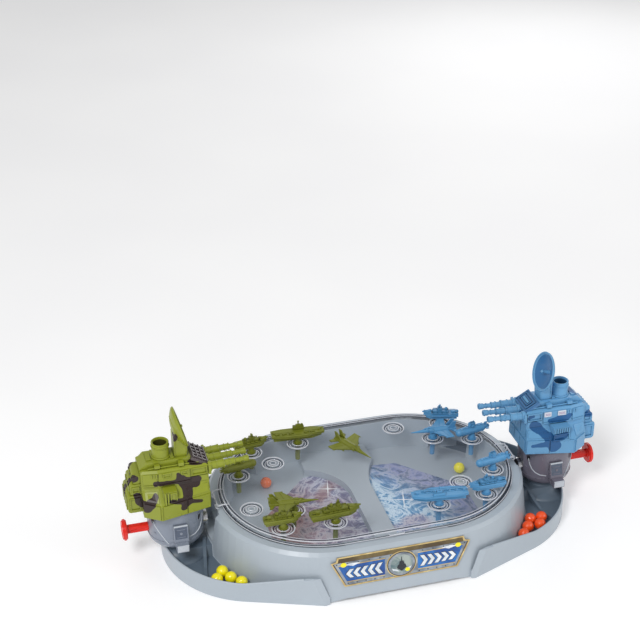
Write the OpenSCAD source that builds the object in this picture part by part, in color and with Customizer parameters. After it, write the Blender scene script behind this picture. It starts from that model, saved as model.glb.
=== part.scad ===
// Two-player tabletop naval game: a boat-like base with a sunken marble
// arena under a clear cover, two swivelling turrets that shoot marbles,
// and lift-off ships, submarines and jets on pegs.
// Millimetres, +Z up. Origin: on the table, under the middle of the cover.
// The green side is at -X and the blue side at +X.

/* [Marbles] */
// Diameter of a marble
marble_d = 11; // [10:0.5:11.5]
// Play of a marble in the launch tube, on the diameter
marble_play = 0.6; // [0.4:0.1:1]

/* [Clear cover] */
// Height of the clear cover's top over the table
deck_h = 55; // [53:1:60]
// Distance from the middle to the centre of each round end
deck_half = 48; // [45:1:52]
// Radius of the round ends of the clear cover
cover_r = 92; // [90:1:94]
// Wall of the clear cover
cover_t = 2; // [1.6:0.2:2.4]
// Depth of the cover from its top to its seat
cover_depth = 5; // [4.4:0.2:6]
// Width of the cover's foot flange
flange_w = 2; // [1.4:0.2:2.6]
// Half width of the tab over each muzzle opening
tab_half = 12.5; // [10:0.5:14]

/* [Base] */
// Wall of the base shell
wall = 2.4; // [2:0.1:2.8]
// Width of the ledge round the cover
ledge_w = 10; // [9:0.5:11]
// Inward lean of the front and back walls over their height
front_draft = 6.5; // [5:0.5:8]
// Outward lean of the round end walls over their height
end_draft = 6; // [4:0.5:6]
// Height of the arena floor
floor_h = 22; // [20:0.5:23]
// Lean of the arena's inner wall
arena_draft = 5; // [3:0.5:7]
// Height of the ridge between the two halves of the arena
ridge_h = 7; // [5:0.5:8]
// Radius of each marble tray's outer wall
tray_r = 91; // [90:0.5:93]
// Distance from a round end's centre to the centre of its tray's outer wall
tray_run = 59; // [58:0.5:61]
// Height of the tray's rim at its outer end
rim_h = 18; // [16:0.5:19]
// Height of the tray's rim where it meets the front wall
rim_high = 28; // [26:0.5:30]
// Thickness of the tray's floor
tray_floor = 8; // [6:0.5:9]
// Rise of the bottom edge in the middle of the front wall
arch_h = 3.6; // [3:0.2:5]

/* [Turrets] */
// Distance from a round end's centre to its turret's swivel axis
turret_run = 136; // [134:0.5:138]
// Outer radius of a turret drum
drum_r = 26; // [25.5:0.5:27]
// Wall of a drum
drum_wall = 2; // [1.6:0.2:2.4]
// Height of a drum's underside over the table
drum_z = 22; // [21.6:0.2:23]
// Height of a turret shell's bottom edge
shell_z = 62; // [61:0.5:64]
// Height of a turret's roof
roof_z = 112; // [110:0.5:114]
// Wall of a turret shell
shell_wall = 2; // [1.6:0.2:2.4]
// Height of the launch tube's axis
tube_z = 36.5; // [36:0.5:38]
// Wall of the launch tube
tube_wall = 0.7; // [0.6:0.05:0.9]
// Reach of the launch tube ahead of the swivel axis
muzzle_u = 29; // [27:0.5:30]
// Radius of the swivel spigot under a drum
spigot_r = 10; // [9:0.5:10.5]

/* [Plunger] */
// Radius of the plunger rod
rod_r = 4.2; // [4:0.1:4.3]
// Radius of the finger disc
disc_r = 10; // [9:0.5:11]
// Distance from the swivel axis to the finger disc's outer face
disc_u = 49.5; // [48:0.5:52]
// Wire of the plunger spring
spring_wire = 0.8; // [0.7:0.05:0.9]
// Turns of the plunger spring
spring_turns = 6; // [4:1:7]

/* [Guns and dish] */
// Length of each barrel
barrel_len = 37; // [34:1:40]
// Distance between neighbouring barrels
barrel_gap = 12; // [10:0.5:13]
// Outer radius of the chimney
chimney_r = 7.8; // [7.6:0.1:8.4]
// Height of the chimney over the roof
chimney_h = 14; // [10:0.5:16]
// Distance from the swivel axis back to the chimney
chimney_u = 10; // [9:0.5:11]
// Radius of the dish
dish_r = 18; // [16:0.5:19]
// Backward tilt of the dish, in degrees
dish_tilt = 17; // [12:1:22]

/* [Targets] */
// Radius of the peg holes in the cover
peg_hole_r = 2.5; // [2.3:0.1:2.7]
// Clearance round a peg
peg_play = 0.08; // [0.04:0.01:0.1]
// Reach of a peg below the cover's top
peg_reach = 17; // [14:0.5:18]
// Radius of the raised ring round a peg hole
ring_r = 11; // [10:0.25:11.5]
// Height of a figure's keel over the cover's top
keel_h = 8; // [7:0.5:10]
// Length of a carrier
carrier_len = 52; // [46:1:54]
// Length of a large warship
cruiser_len = 48; // [42:1:49]
// Length of a small warship
frigate_len = 36; // [32:1:38]
// Length of a submarine
sub_len = 37; // [33:1:38]
// Length of a jet
jet_len = 45; // [40:1:46]

/* [Hidden] */
$fn = 64;
eps = 0.01;
gap = 0.3;        // gap between faces that don't seat on each other
fit = 0.08;       // radial clearance of a running fit

GREEN = [0.60, 0.61, 0.16];
OLIVE = [0.49, 0.51, 0.13];
BLUE = [0.40, 0.65, 0.84];
STEEL_BLUE = [0.27, 0.55, 0.75];
GREY = [0.69, 0.74, 0.77];
DRUM_GREY = [0.58, 0.60, 0.64];
RED = [0.90, 0.15, 0.10];
YELLOW = [0.98, 0.90, 0.10];
ORANGE = [0.95, 0.32, 0.08];
SILVER = [0.80, 0.80, 0.82];
CLEAR = [0.82, 0.82, 0.90, 0.35];

// Base and arena
seat_z = deck_h - cover_depth;             // ledge under the cover's flange
flange_r = cover_r + flange_w;
ledge_r = flange_r + ledge_w;              // top edge of the end walls
arena_top_r = cover_r - cover_t - 1;
arena_bot_r = arena_top_r - arena_draft;
base_half = ledge_r + front_draft;         // half width of the base at the table
edge_z = seat_z - 3;                       // where the ledge's rounded edge starts
tray_x = deck_half + tray_run;
turret_x = deck_half + turret_run;
foot_in = deck_half + 3;                   // raised middle ends here
foot_out = deck_half + 23;                 // bottom edge is on the table from here
crease_x = tray_x - 24;                    // tray rim meets the front wall here
sheer_x = tray_x + 33;                     // rim is level beyond here
foot_run = 76;                             // length of a tray's straight wall
wall_angle = 69.5;                         // where it leaves the round end
ridge_half = 10.5;
flare_green = 50;                          // curve of the ridge's green side
flare_blue = 87;                           // curve of its blue side
notch_half = 19;                           // half width of the muzzle notch
notch_x = deck_half + cover_r + 6.5;       // flat face of the muzzle notch
slot_half = 17;                            // half width of the muzzle slot
window_angle = 46;                         // marble exit, from the long axis
window_w = 41;
bore_r = marble_d / 2 + marble_play / 2;   // launch tube's bore
tube_r = bore_r + tube_wall;
ped_r = 18;                                // pedestal's radius at its top
ped_top = drum_z - gap;
ped_plate = 3.5;
ped_inner = spigot_r + 1.8;
fin_x = tray_x + 51;                       // fin between tray and back pocket
fin_slant = 10;
fin_t = 3;

// Turret, in a frame with +X towards the arena and the swivel axis at 0
feed_u = 8;                                // launch tube takes the marble here
piston_u = feed_u - marble_d / 2 - 0.5;    // plunger's front face at rest
piston_len = 5;
tube_back = -(drum_r - drum_wall - 1);
bowl_r = 9;                                // rounding under the drum
skirt_z = shell_z + 16;                    // top of the shell's upright skirt
front_u = 30;                              // front face of the shell
rear_u = -31;                              // rear face of the shell
slab_front = 15.5;
slab_half = 10;
gun_z = 100.5;                             // barrel axis at the front face
gun_plate_t = 2.4;
gun_tilt = 3.5;
dish_u = 9;
dish_z = roof_z + 27.3;
feed_tilt = atan((chimney_u + feed_u) / (roof_z - 6 - tube_z));
feed_r = bore_r + 0.1;

lug_z = 29;                                // underside of a drum's side grip
washer_t = 1.5;
spigot_z = ped_top - ped_plate - gap;      // lower end of the swivel spigot
screw_top = drum_z + 5;                    // upper end of the swivel screw
pivot_screw_r = 2;
shell_screw_r = 1.5;
shell_hole_r = 17;                         // opening between drum and shell
screw_pcr = 20.5;

// Targets: peg holes for one quarter, mirrored to the other three
hole_a = [deck_half + 1.4, 66.2];
hole_b = [deck_half + 49.1, 62.5];
hole_c = [deck_half + 69.7, 27.1];
hole_d = [deck_half + 33.2, 38.8];
holes = [hole_a, hole_b, hole_c, hole_d];
peg_r = peg_hole_r - peg_play;
boss_h = 1.6;                              // raised sleeve round a peg hole
boss_r = 5.8;
foot_r = 4.4;                              // round foot that rests on the sleeve
keel_z = deck_h + keel_h;

// ---------------------------------------------------------------- outlines

// Stadium: two round ends on a straight middle
module stadium(r) {
    for (s = [-1, 1]) translate([s * deck_half, 0]) circle(r, $fn = 128);
    square([2 * deck_half, 2 * r], center = true);
}

// Stadium whose radius runs from r1 at the bottom to r2 at the top
module stadium_cone(r1, r2, h) {
    for (s = [-1, 1]) translate([s * deck_half, 0, 0]) cylinder(r1 = r1, r2 = r2, h = h, $fn = 128);
    rotate([90, 0, 90]) translate([0, 0, -deck_half]) linear_extrude(2 * deck_half)
        polygon([[-r1, 0], [r1, 0], [r2, h], [-r2, h]]);
}

// Prism between the two leaning long walls, drawn in by inset
module wall_slab(inset, z0, z1) {
    lean = front_draft / edge_z;
    y0 = base_half - inset - lean * z0;
    y1 = base_half - inset - lean * z1;
    rotate([90, 0, 90]) translate([0, 0, -260]) linear_extrude(520)
        polygon([[-y0, z0], [y0, z0], [y1, z1], [-y1, z1]]);
}

// Plan of the trays and feet: round ends with straight walls to the feet
module tray_plan(inset) {
    r = tray_r - inset;
    foot_x = tray_x + r * cos(wall_angle) - foot_run * sin(wall_angle);
    foot_y = r * sin(wall_angle) + foot_run * cos(wall_angle);
    hull() {
        for (s = [-1, 1]) translate([s * tray_x, 0]) circle(r, $fn = 96);
        square([2 * foot_x, 2 * foot_y], center = true);
    }
}

// Side view of the tray walls: level at the ends, rising to the front wall
module sheer() {
    x_end = tray_x + tray_r + 5;
    rotate([90, 0, 0]) translate([0, 0, -150]) linear_extrude(300)
        for (s = [0, 1]) mirror([s, 0])
            polygon([[foot_out - 4, 0], [x_end, 0], [x_end, rim_h],
                [sheer_x, rim_h], [crease_x, rim_high], [foot_out - 4, rim_high]]);
}

module both_ends() {
    for (s = [0, 1]) mirror([s, 0, 0]) children();
}

module far_windows() {
    both_ends() mirror([0, 1, 0]) children();
}

module four_corners() {
    for (s = [0, 1], t = [0, 1]) mirror([s, 0, 0]) mirror([0, t, 0]) children();
}

// ---------------------------------------------------------------- base

// Plan of the arena block at height z: round ends cut off by the long walls
module block_slice(inset, r, y, z) {
    translate([0, 0, z]) linear_extrude(eps) intersection() {
        union() for (s = [-1, 1]) translate([s * deck_half, 0]) circle(r - inset, $fn = 72);
        square([600, 2 * (y - inset)], center = true);
    }
    translate([0, 0, z]) linear_extrude(eps) square([2 * deck_half, 2 * (y - inset)], center = true);
}

// Arena block between two heights, drawn in by inset
module arena_block(inset, z0, z1) {
    hull() for (z = [z0, z1])
        block_slice(inset, ledge_r + end_draft * (1 - z / edge_z), ledge_r + front_draft * (1 - z / edge_z), z);
}

module tray_walls() {
    intersection() {
        difference() {
            linear_extrude(rim_high) tray_plan(0);
            translate([0, 0, tray_floor]) linear_extrude(rim_high) tray_plan(wall);
        }
        sheer();
        wall_slab(0, 0, rim_high + 1);
    }
}

// Pedestal under a turret with the fin on each side of it
module pedestal() {
    intersection() {
        union() {
            translate([turret_x, 0, 0]) {
                cylinder(r = 31, h = tray_floor + 0.5);
                translate([0, 0, tray_floor + 0.5]) cylinder(r1 = 31, r2 = 22, h = 4);
                translate([0, 0, tray_floor + 4.5]) cylinder(r1 = 22, r2 = ped_r, h = rim_h - tray_floor - 4.5);
                translate([0, 0, rim_h]) cylinder(r = ped_r, h = ped_top - rim_h);
            }
            // bridge to the arena wall
            rotate([90, 0, 90]) translate([0, 0, deck_half + arena_top_r]) linear_extrude(turret_x - deck_half - arena_top_r)
                polygon([[-27, 0], [27, 0], [notch_half, ped_top - 4], [-notch_half, ped_top - 4]]);
            for (t = [0, 1]) mirror([0, t, 0])
                translate([fin_x, 8, 0]) rotate([90, 0, 90 - fin_slant]) linear_extrude(fin_t)
                    polygon([[0, 0], [0, ped_top - 0.5], [12, ped_top - 4], [22, 13], [34, 10], [46, 11.5], [60, 15.5], [60, 0]]);
        }
        union() {
            linear_extrude(rim_h) tray_plan(0.5);
            translate([120, -70, rim_h - eps]) cube([90, 140, ped_top]);
        }
    }
}

// Plan of the raised part between the two halves of the arena, flaring at the far side
module ridge_plan(grow) {
    difference() {
        translate([-45, -arena_top_r]) square([70, 2 * arena_top_r]);
        translate([-ridge_half - grow - flare_green, 10]) circle(flare_green, $fn = 96);
        translate([ridge_half + grow + flare_blue, 10]) circle(flare_blue, $fn = 96);
        translate([-60, -120]) square([60 - ridge_half - grow, 130]);
        translate([ridge_half + grow, -120]) square([60, 130]);
    }
}

module ridge() {
    intersection() {
        translate([0, 0, floor_h - 1]) linear_extrude(ridge_h + 1) ridge_plan(0);
        translate([0, 0, floor_h - 1]) stadium_cone(arena_bot_r, arena_top_r, seat_z - floor_h + 1);
    }
}

// Side profile pulled across an exit window, w wide
module window_profile(w) {
    translate([deck_half, 0, 0]) rotate([0, 0, -window_angle]) rotate([90, 0, 0])
        translate([0, 0, -w / 2]) linear_extrude(w) children();
}

// Material kept round an exit window and its ramp
module window_liner() {
    window_profile(window_w + 2 * wall)
        polygon([[arena_bot_r - 12, floor_h - wall / 2], [arena_bot_r + 2.5, floor_h - 1 - wall],
            [ledge_r - 3, tray_floor - wall], [ledge_r + 30, tray_floor - wall],
            [ledge_r + 30, deck_h], [arena_bot_r - 12, deck_h]]);
}

// Cut for a marble to leave the arena and roll into the tray, kept off the tray's straight wall
module exit_window() {
    intersection() {
        window_profile(window_w)
            polygon([[arena_bot_r - 12, floor_h + 0.5], [arena_bot_r - 12, floor_h + 15], [arena_top_r + 2, floor_h + 14],
                [ledge_r, rim_high - 1], [ledge_r + 13, rim_high - 4], [ledge_r + 13, tray_floor - 0.3],
                [ledge_r - 1, tray_floor - 0.3], [arena_bot_r + 4, floor_h - 1]]);
        translate([tray_x, 0, 0]) rotate([0, 0, -wall_angle])
            translate([-200, -100, 0]) cube([200 + tray_r - wall - 0.3, 200, deck_h]);
    }
}

module base_shell() {
    color(GREY) difference() {
        union() {
            difference() {
                union() {
                    // outer body with the ledge's sloped edge
                    hull() {
                        block_slice(0, ledge_r + end_draft, base_half, 0);
                        block_slice(0, ledge_r, ledge_r, edge_z);
                        block_slice(0, ledge_r - 3, ledge_r - 3, seat_z - eps);
                    }
                    tray_walls();
                }
                // arena
                translate([0, 0, floor_h])
                    stadium_cone(arena_bot_r, arena_top_r, seat_z - floor_h + eps);
                // hollow inside the outer walls, round the arena tub, ramps and notches
                difference() {
                    arena_block(wall, -1, seat_z - wall - 1);
                    translate([0, 0, floor_h - wall])
                        stadium_cone(arena_bot_r + wall, arena_top_r + wall, seat_z - floor_h + wall);
                    far_windows() window_liner();
                    both_ends() translate([100, -notch_half - wall, ped_top - 1 - wall])
                        cube([80, 2 * (notch_half + wall), deck_h]);
                }
            }
            both_ends() pedestal();
            ridge();
        }
        both_ends() {
            // notch and slot for the muzzle
            translate([notch_x, -notch_half, ped_top - 1]) cube([30, 2 * notch_half, deck_h]);
            translate([deck_half + arena_bot_r - 6, -slot_half, tube_z - tube_r - 1.5])
                cube([40, 2 * slot_half, 2 * tube_r + 2]);
            // swivel seat, open below
            translate([turret_x, 0, -1]) cylinder(r = spigot_r, h = deck_h);
            translate([turret_x, 0, -1]) cylinder(r = ped_inner, h = ped_top - ped_plate + 1);
        }
        far_windows() exit_window();
        // raised bottom edge of the long walls
        rotate([90, 0, 0]) translate([0, 0, -150]) linear_extrude(300)
            polygon([[-foot_out, -1], [-foot_out, 0], [-foot_in, arch_h], [foot_in, arch_h], [foot_out, 0], [foot_out, -1]]);
    }
}

// ---------------------------------------------------------------- cover and prints

module peg_ring(p) {
    translate([p[0], p[1], deck_h - eps]) difference() {
        union() {
            cylinder(r = ring_r, h = 1 + eps);
        }
        translate([0, 0, -1]) cylinder(r = ring_r - 1.4, h = 4);
    }
    translate([p[0], p[1], deck_h - cover_t]) cylinder(r = boss_r, h = cover_t + boss_h);
}

module clear_cover() {
    color(CLEAR) difference() {
        union() {
            translate([0, 0, seat_z]) linear_extrude(cover_depth - 1) stadium(cover_r);
            translate([0, 0, deck_h - 1]) stadium_cone(cover_r, cover_r - 1, 1);
            translate([0, 0, seat_z]) linear_extrude(1.4) stadium(flange_r);
            both_ends() translate([deck_half + cover_r - 6, -tab_half, seat_z + gap])
                cube([12.5, 2 * tab_half, cover_depth - gap + 0.8]);
            four_corners() for (p = holes) peg_ring(p);
        }
        translate([0, 0, seat_z - 1]) linear_extrude(cover_depth + 1 - cover_t) stadium(cover_r - cover_t);
        four_corners() for (p = holes)
            translate([p[0], p[1], seat_z]) cylinder(r = peg_hole_r, h = 20);
        // grip slots in the tab
        both_ends() for (i = [0:2])
            translate([deck_half + cover_r - 1.5 + 2.4 * i, -tab_half + 3, deck_h - 0.6])
                cube([1.1, 2 * tab_half - 6, 3]);
    }
}

print_t = 0.3;

// One side's print: bounded by the ridge, the arena wall and a slanted far edge
module print_sheet(side) {
    translate([0, 0, floor_h]) linear_extrude(print_t) intersection() {
        stadium(arena_bot_r - 1.5);
        difference() {
            polygon([[0, -100], [side * 100, -100], [side * 100, 0], [side * 48, 54], [side * 20, 57], [0, 57]]);
            ridge_plan(0.6);
        }
    }
}

module floor_print_green() {
    color([0.72, 0.74, 0.85]) print_sheet(-1);
}

module floor_print_blue() {
    color([0.45, 0.70, 0.85]) print_sheet(1);
}

// Outline of the label: slanted ends with a bar on top
label_half = 65.3;
label_low_half = 53.2;
label_top_half = 59.4;

module front_label() {
    lean = atan(front_draft / edge_z);
    color([0.55, 0.60, 0.68]) translate([0, -base_half - 0.02, 0]) rotate([90 - lean, 0, 0]) linear_extrude(0.5)
        polygon([[-label_low_half, 16.5], [label_low_half, 16.5], [label_half, 41.5], [label_top_half + 1, 42.5],
            [label_top_half, 46.5], [-label_top_half, 46.5], [-label_top_half - 1, 42.5], [-label_half, 41.5]]);
}

// ---------------------------------------------------------------- turret (axis at 0, arena at +X)

// Tilted cylinder from the launch tube up to the chimney
module feed_path(r) {
    translate([feed_u, 0, tube_z]) rotate([0, -feed_tilt, 0])
        cylinder(r = r, h = (roof_z - tube_z) / cos(feed_tilt));
}

module screw_spots(r) {
    for (a = [45:90:315]) rotate([0, 0, a]) translate([r, 0, 0]) children();
}

module drum() {
    difference() {
        union() {
            rotate_extrude($fn = 128) {
                translate([0, drum_z]) square([drum_r - bowl_r, bowl_r]);
                translate([drum_r - bowl_r, drum_z + bowl_r]) circle(bowl_r);
                translate([0, drum_z + bowl_r]) square([drum_r, shell_z - drum_z - bowl_r]);
            }
            // swivel spigot
            translate([0, 0, spigot_z]) cylinder(r = spigot_r - fit, h = drum_z - spigot_z + 1);
            // grips and the panels over them
            for (t = [0, 1]) mirror([0, t, 0]) {
                translate([-5.5, drum_r - 4, lug_z]) cube([11, 16, 7]);
                rotate([90, 0, 90]) translate([0, 0, -6.5]) linear_extrude(13)
                    polygon([[drum_r - 4, lug_z + 4], [drum_r + 6, lug_z + 7], [drum_r + 2, lug_z + 22], [drum_r - 4, lug_z + 22]]);
            }
        }
        difference() {
            union() {
                translate([0, 0, drum_z + 10]) cylinder(r = drum_r - drum_wall, h = shell_z - drum_z);
                translate([0, 0, drum_z + 3]) cylinder(r1 = drum_r - 9, r2 = drum_r - drum_wall, h = 7 + eps);
            }
            // ledge for the shell's screws
            translate([0, 0, shell_z - 2.6]) difference() {
                cylinder(r = drum_r, h = 3);
                translate([0, 0, -1]) cylinder(r = shell_hole_r, h = 5);
            }
            // screw boss and tube cradles
            cylinder(r = 5, h = tube_z - tube_r - 1);
            for (u = [-13, 12]) translate([u, -9, 0]) cube([2.4, 18, tube_z]);
        }
        // launch tube, rod and screws
        translate([tube_back, 0, tube_z]) rotate([0, 90, 0]) cylinder(r = tube_r, h = 60);
        translate([-40, 0, tube_z]) rotate([0, 90, 0]) cylinder(r = rod_r + fit, h = 40);
        translate([0, 0, spigot_z - 1]) cylinder(r = pivot_screw_r + 0.05, h = screw_top - spigot_z + 1.5, $fn = 32);
        screw_spots(screw_pcr) translate([0, 0, shell_z - 5]) cylinder(r = shell_screw_r + 0.05, h = 10, $fn = 24);
    }
}

// Plan section of the shell: front, widest and rear half widths
module shell_section(z, front, wide, rear, u0, u1) {
    translate([0, 0, z]) linear_extrude(eps)
        polygon([[u1, -front], [u1, front], [-16, wide], [u0, rear], [u0, -rear], [-16, -wide]]);
}

module shell_solid(t) {
    // skirt with its sloped shoulder
    hull() {
        shell_section(shell_z + t, 21 - t, 31 - t, 21 - t, rear_u + t, front_u - t);
        shell_section(skirt_z, 21 - t, 31 - t, 21 - t, rear_u + t, front_u - t);
        shell_section(skirt_z + 11, 17 - t, 18 - t, 16 - t, rear_u + 1 + t, front_u - 1 - t);
    }
    // cabin
    hull() {
        shell_section(skirt_z - 6, 18.5 - t, 20 - t, 17.5 - t, rear_u + t, front_u - t);
        shell_section(roof_z - 8, 15.5 - t, 17 - t, 14.5 - t, rear_u + t, front_u - t);
        shell_section(roof_z - 6 - t, 12 - t, 15 - t, 13 - t, rear_u + 2 + t, front_u - 3 - t);
    }
    // roof slab with the slanted front
    rotate([90, 0, 0]) translate([0, 0, t - slab_half]) linear_extrude(2 * (slab_half - t))
        polygon([[front_u - t, roof_z - 14], [front_u - t, roof_z - 9 - t], [slab_front - t / 2, roof_z - t],
            [rear_u + 6 + t / 2, roof_z - t], [rear_u + t, roof_z - 6 - t], [rear_u + t, roof_z - 14]]);
}

// Rear box with rounded outer edges
module rear_box(depth, half, z0, z1) {
    r = 3;
    translate([rear_u + 1, 0, 0]) rotate([90, 0, 0]) translate([0, 0, -half]) linear_extrude(2 * half) {
        translate([-depth - 1 + r, z0]) square([depth + 1 - r, z1 - z0]);
        translate([-depth - 1, z0 + r]) square([r, z1 - z0 - 2 * r]);
        for (z = [z0 + r, z1 - r]) translate([-depth - 1 + r, z]) circle(r, $fn = 32);
    }
}

module shell() {
    difference() {
        union() {
            difference() {
                shell_solid(0);
                shell_solid(shell_wall);
                // open bottom over the drum
                translate([0, 0, shell_z - 1]) cylinder(r = shell_hole_r, h = 6);
            }
            rear_box(13, 14, shell_z + 2, shell_z + 20);
            rear_box(10, 13, shell_z + 20, shell_z + 31);
            rear_box(7, 12, shell_z + 31, shell_z + 39);
            // chimney, its sleeve and the screw posts
            translate([-chimney_u, 0, roof_z - 3.7]) cylinder(r = chimney_r, h = chimney_h + 3.7);
            screw_spots(screw_pcr) translate([0, 0, shell_z]) cylinder(r = 3.2, h = 8, $fn = 32);
            // side lockers and latches
            translate([-13, -28, skirt_z - 1]) cube([12, 14, 13]);
            translate([-11, 14, skirt_z - 1]) cube([17, 14, 14]);
            for (t = [0, 1]) mirror([0, t, 0]) {
                translate([3.5, 9, roof_z - 5]) cube([5, 6, 3.4]);
                translate([-18, 9, roof_z - 5]) cube([5, 5, 3]);
            }
        }
        translate([-chimney_u, 0, roof_z - 8]) cylinder(r = bore_r + 0.4, h = chimney_h + 20);
        screw_spots(screw_pcr) translate([0, 0, shell_z - 1]) cylinder(r = shell_screw_r + 0.05, h = 8, $fn = 24);
        for (v = [-14, 14]) translate([front_u - 5, v, gun_z - 1]) rotate([0, 90, 0]) cylinder(r = 1.5, h = 10, $fn = 24);
    }
}

// Dish on its post, with the feed horn in the middle
module dish() {
    depth = 6.5;
    ball = (dish_r * dish_r + depth * depth) / (2 * depth);
    module tilted() {
        translate([dish_u, 0, dish_z]) rotate([0, 90 - dish_tilt, 0]) children();
    }
    difference() {
        union() {
            tilted() intersection() {
                translate([0, 0, ball - depth]) sphere(ball + 1.5, $fn = 96);
                translate([0, 0, -depth - 2]) cylinder(r = dish_r + 0.8, h = depth + 2);
            }
            rotate([90, 0, 0]) translate([0, 0, -7]) linear_extrude(14)
                polygon([[1.5, roof_z], [12.5, roof_z], [dish_u + 5, dish_z - 14], [dish_u - 4, dish_z], [dish_u - 7.5, dish_z - 6]]);
        }
        tilted() translate([0, 0, ball - depth]) sphere(ball, $fn = 96);
    }
    tilted() {
        translate([0, 0, -depth - 0.5]) cylinder(r1 = 2.2, r2 = 1, h = depth + 1, $fn = 32);
        translate([0, 0, 0.8]) sphere(1.6, $fn = 32);
    }
}

module barrel() {
    thick = 0.38 * barrel_len;
    mid = 0.26 * barrel_len;
    thin = 0.26 * barrel_len;
    difference() {
        union() {
            cylinder(r = 3.8, h = thick, $fn = 48);
            cylinder(r = 2.9, h = thick + mid, $fn = 48);
            cylinder(r = 2.2, h = thick + mid + thin, $fn = 48);
            translate([0, 0, thick + mid + thin - 1]) cylinder(r = 2.8, h = barrel_len - thick - mid - thin + 1, $fn = 48);
        }
        translate([0, 0, barrel_len - 6]) cylinder(r = 1.3, h = 7, $fn = 24);
    }
}

module gun_block() {
    translate([front_u, -18, gun_z - 5]) cube([gun_plate_t, 36, 8.5]);
    for (i = [-1:1])
        translate([front_u + 1, i * barrel_gap, gun_z]) rotate([0, 90 - gun_tilt, 0]) barrel();
    for (v = [-14, 14]) translate([front_u - 3, v, gun_z - 1]) rotate([0, 90, 0]) cylinder(r = 1.45, h = 4, $fn = 24);
}

module launch_tube() {
    difference() {
        union() {
            translate([tube_back, 0, tube_z]) rotate([0, 90, 0]) cylinder(r = tube_r, h = muzzle_u - tube_back);
            translate([muzzle_u - 2, 0, tube_z]) rotate([0, 90, 0]) cylinder(r = tube_r + 0.4, h = 2);
        }
        translate([tube_back - 1, 0, tube_z]) rotate([0, 90, 0]) cylinder(r = bore_r, h = 80);
        feed_path(feed_r);
    }
}

module feed_tube() {
    difference() {
        intersection() {
            feed_path(feed_r + 0.8);
            translate([-40, -20, tube_z]) cube([80, 40, roof_z - 4 - tube_z]);
        }
        translate([0, 0, -eps]) feed_path(feed_r);
        translate([tube_back, 0, tube_z]) rotate([0, 90, 0]) cylinder(r = tube_r, h = 80);
    }
}

module plunger() {
    translate([0, 0, tube_z]) rotate([0, 90, 0]) {
        translate([0, 0, piston_u - piston_len]) cylinder(r = bore_r - fit, h = piston_len);
        difference() {
            translate([0, 0, 1 - disc_u]) cylinder(r = rod_r, h = disc_u + piston_u - 3);
            // flutes in the part that stays outside the drum
            for (a = [0:90:270]) rotate([0, 0, a]) translate([rod_r + 0.6, 0, 4 - disc_u])
                cylinder(r = 1.6, h = disc_u - drum_r - 5, $fn = 24);
        }
        translate([0, 0, -disc_u]) cylinder(r = disc_r - 1, h = 4);
        translate([0, 0, 1 - disc_u]) cylinder(r = disc_r, h = 2);
    }
}

// Round wire wound between the tube's end and the piston
module plunger_spring() {
    w = spring_wire / 2;
    coil_r = (bore_r + rod_r) / 2;
    run = piston_u - piston_len - tube_back - spring_wire;
    pitch = run / spring_turns;
    span = 360 * w / pitch;
    steps = 4;
    translate([tube_back + w, 0, tube_z]) rotate([0, 90, 0]) {
        linear_extrude(run, twist = -360 * spring_turns, slices = 14 * spring_turns, $fn = 16)
            polygon(concat(
                [for (i = [-steps:steps]) let (a = i * span / steps) (coil_r + w * sqrt(1 - pow(i / steps, 2))) * [cos(a), sin(a)]],
                [for (i = [steps - 1:-1:1 - steps]) let (a = i * span / steps) (coil_r - w * sqrt(1 - pow(i / steps, 2))) * [cos(a), sin(a)]]));
        for (z = [0, run]) translate([0, 0, z]) rotate_extrude($fn = 48) translate([coil_r, 0]) circle(w, $fn = 12);
    }
}

module pivot_screw() {
    translate([0, 0, spigot_z - washer_t]) {
        cylinder(r = pivot_screw_r, h = screw_top - spigot_z + washer_t, $fn = 32);
        difference() {
            translate([0, 0, -2.2]) cylinder(r = 4, h = 2.2, $fn = 48);
            translate([0, 0, -3]) {
                cube([4.5, 0.9, 3], center = true);
                cube([0.9, 4.5, 3], center = true);
            }
        }
    }
}

module pivot_washer() {
    translate([0, 0, spigot_z - washer_t]) difference() {
        cylinder(r = spigot_r + 1.3, h = washer_t);
        translate([0, 0, -1]) cylinder(r = pivot_screw_r + 0.1, h = washer_t + 2, $fn = 32);
    }
}

module shell_screws() {
    screw_spots(screw_pcr) translate([0, 0, shell_z - 2.6]) {
        cylinder(r = shell_screw_r, h = 8.5, $fn = 24);
        translate([0, 0, -1.6]) cylinder(r = 2.6, h = 1.6, $fn = 32);
    }
}

module green_side() {
    translate([-turret_x, 0, 0]) children();
}

module blue_side() {
    translate([turret_x, 0, 0]) rotate([0, 0, 180]) children();
}

module green_drum() { color(DRUM_GREY) green_side() drum(); }
module green_shell() { color(GREEN) green_side() shell(); }
module green_dish() { color(GREEN) green_side() dish(); }
module green_gun_block() { color(GREEN) green_side() gun_block(); }
module green_launch_tube() { color(SILVER) green_side() launch_tube(); }
module green_feed_tube() { color(DRUM_GREY) green_side() feed_tube(); }
module green_plunger() { color(RED) green_side() plunger(); }
module green_spring() { color(SILVER) green_side() plunger_spring(); }
module green_pivot_screw() { color(SILVER) green_side() pivot_screw(); }
module green_pivot_washer() { color(SILVER) green_side() pivot_washer(); }
module green_shell_screws() { color(SILVER) green_side() shell_screws(); }
module blue_drum() { color(DRUM_GREY) blue_side() drum(); }
module blue_shell() { color(BLUE) blue_side() shell(); }
module blue_dish() { color(BLUE) blue_side() dish(); }
module blue_gun_block() { color(BLUE) blue_side() gun_block(); }
module blue_launch_tube() { color(SILVER) blue_side() launch_tube(); }
module blue_feed_tube() { color(DRUM_GREY) blue_side() feed_tube(); }
module blue_plunger() { color(RED) blue_side() plunger(); }
module blue_spring() { color(SILVER) blue_side() plunger_spring(); }
module blue_pivot_screw() { color(SILVER) blue_side() pivot_screw(); }
module blue_pivot_washer() { color(SILVER) blue_side() pivot_washer(); }
module blue_shell_screws() { color(SILVER) blue_side() shell_screws(); }

// ---------------------------------------------------------------- targets (bow at +X, keel at 0)

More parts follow.
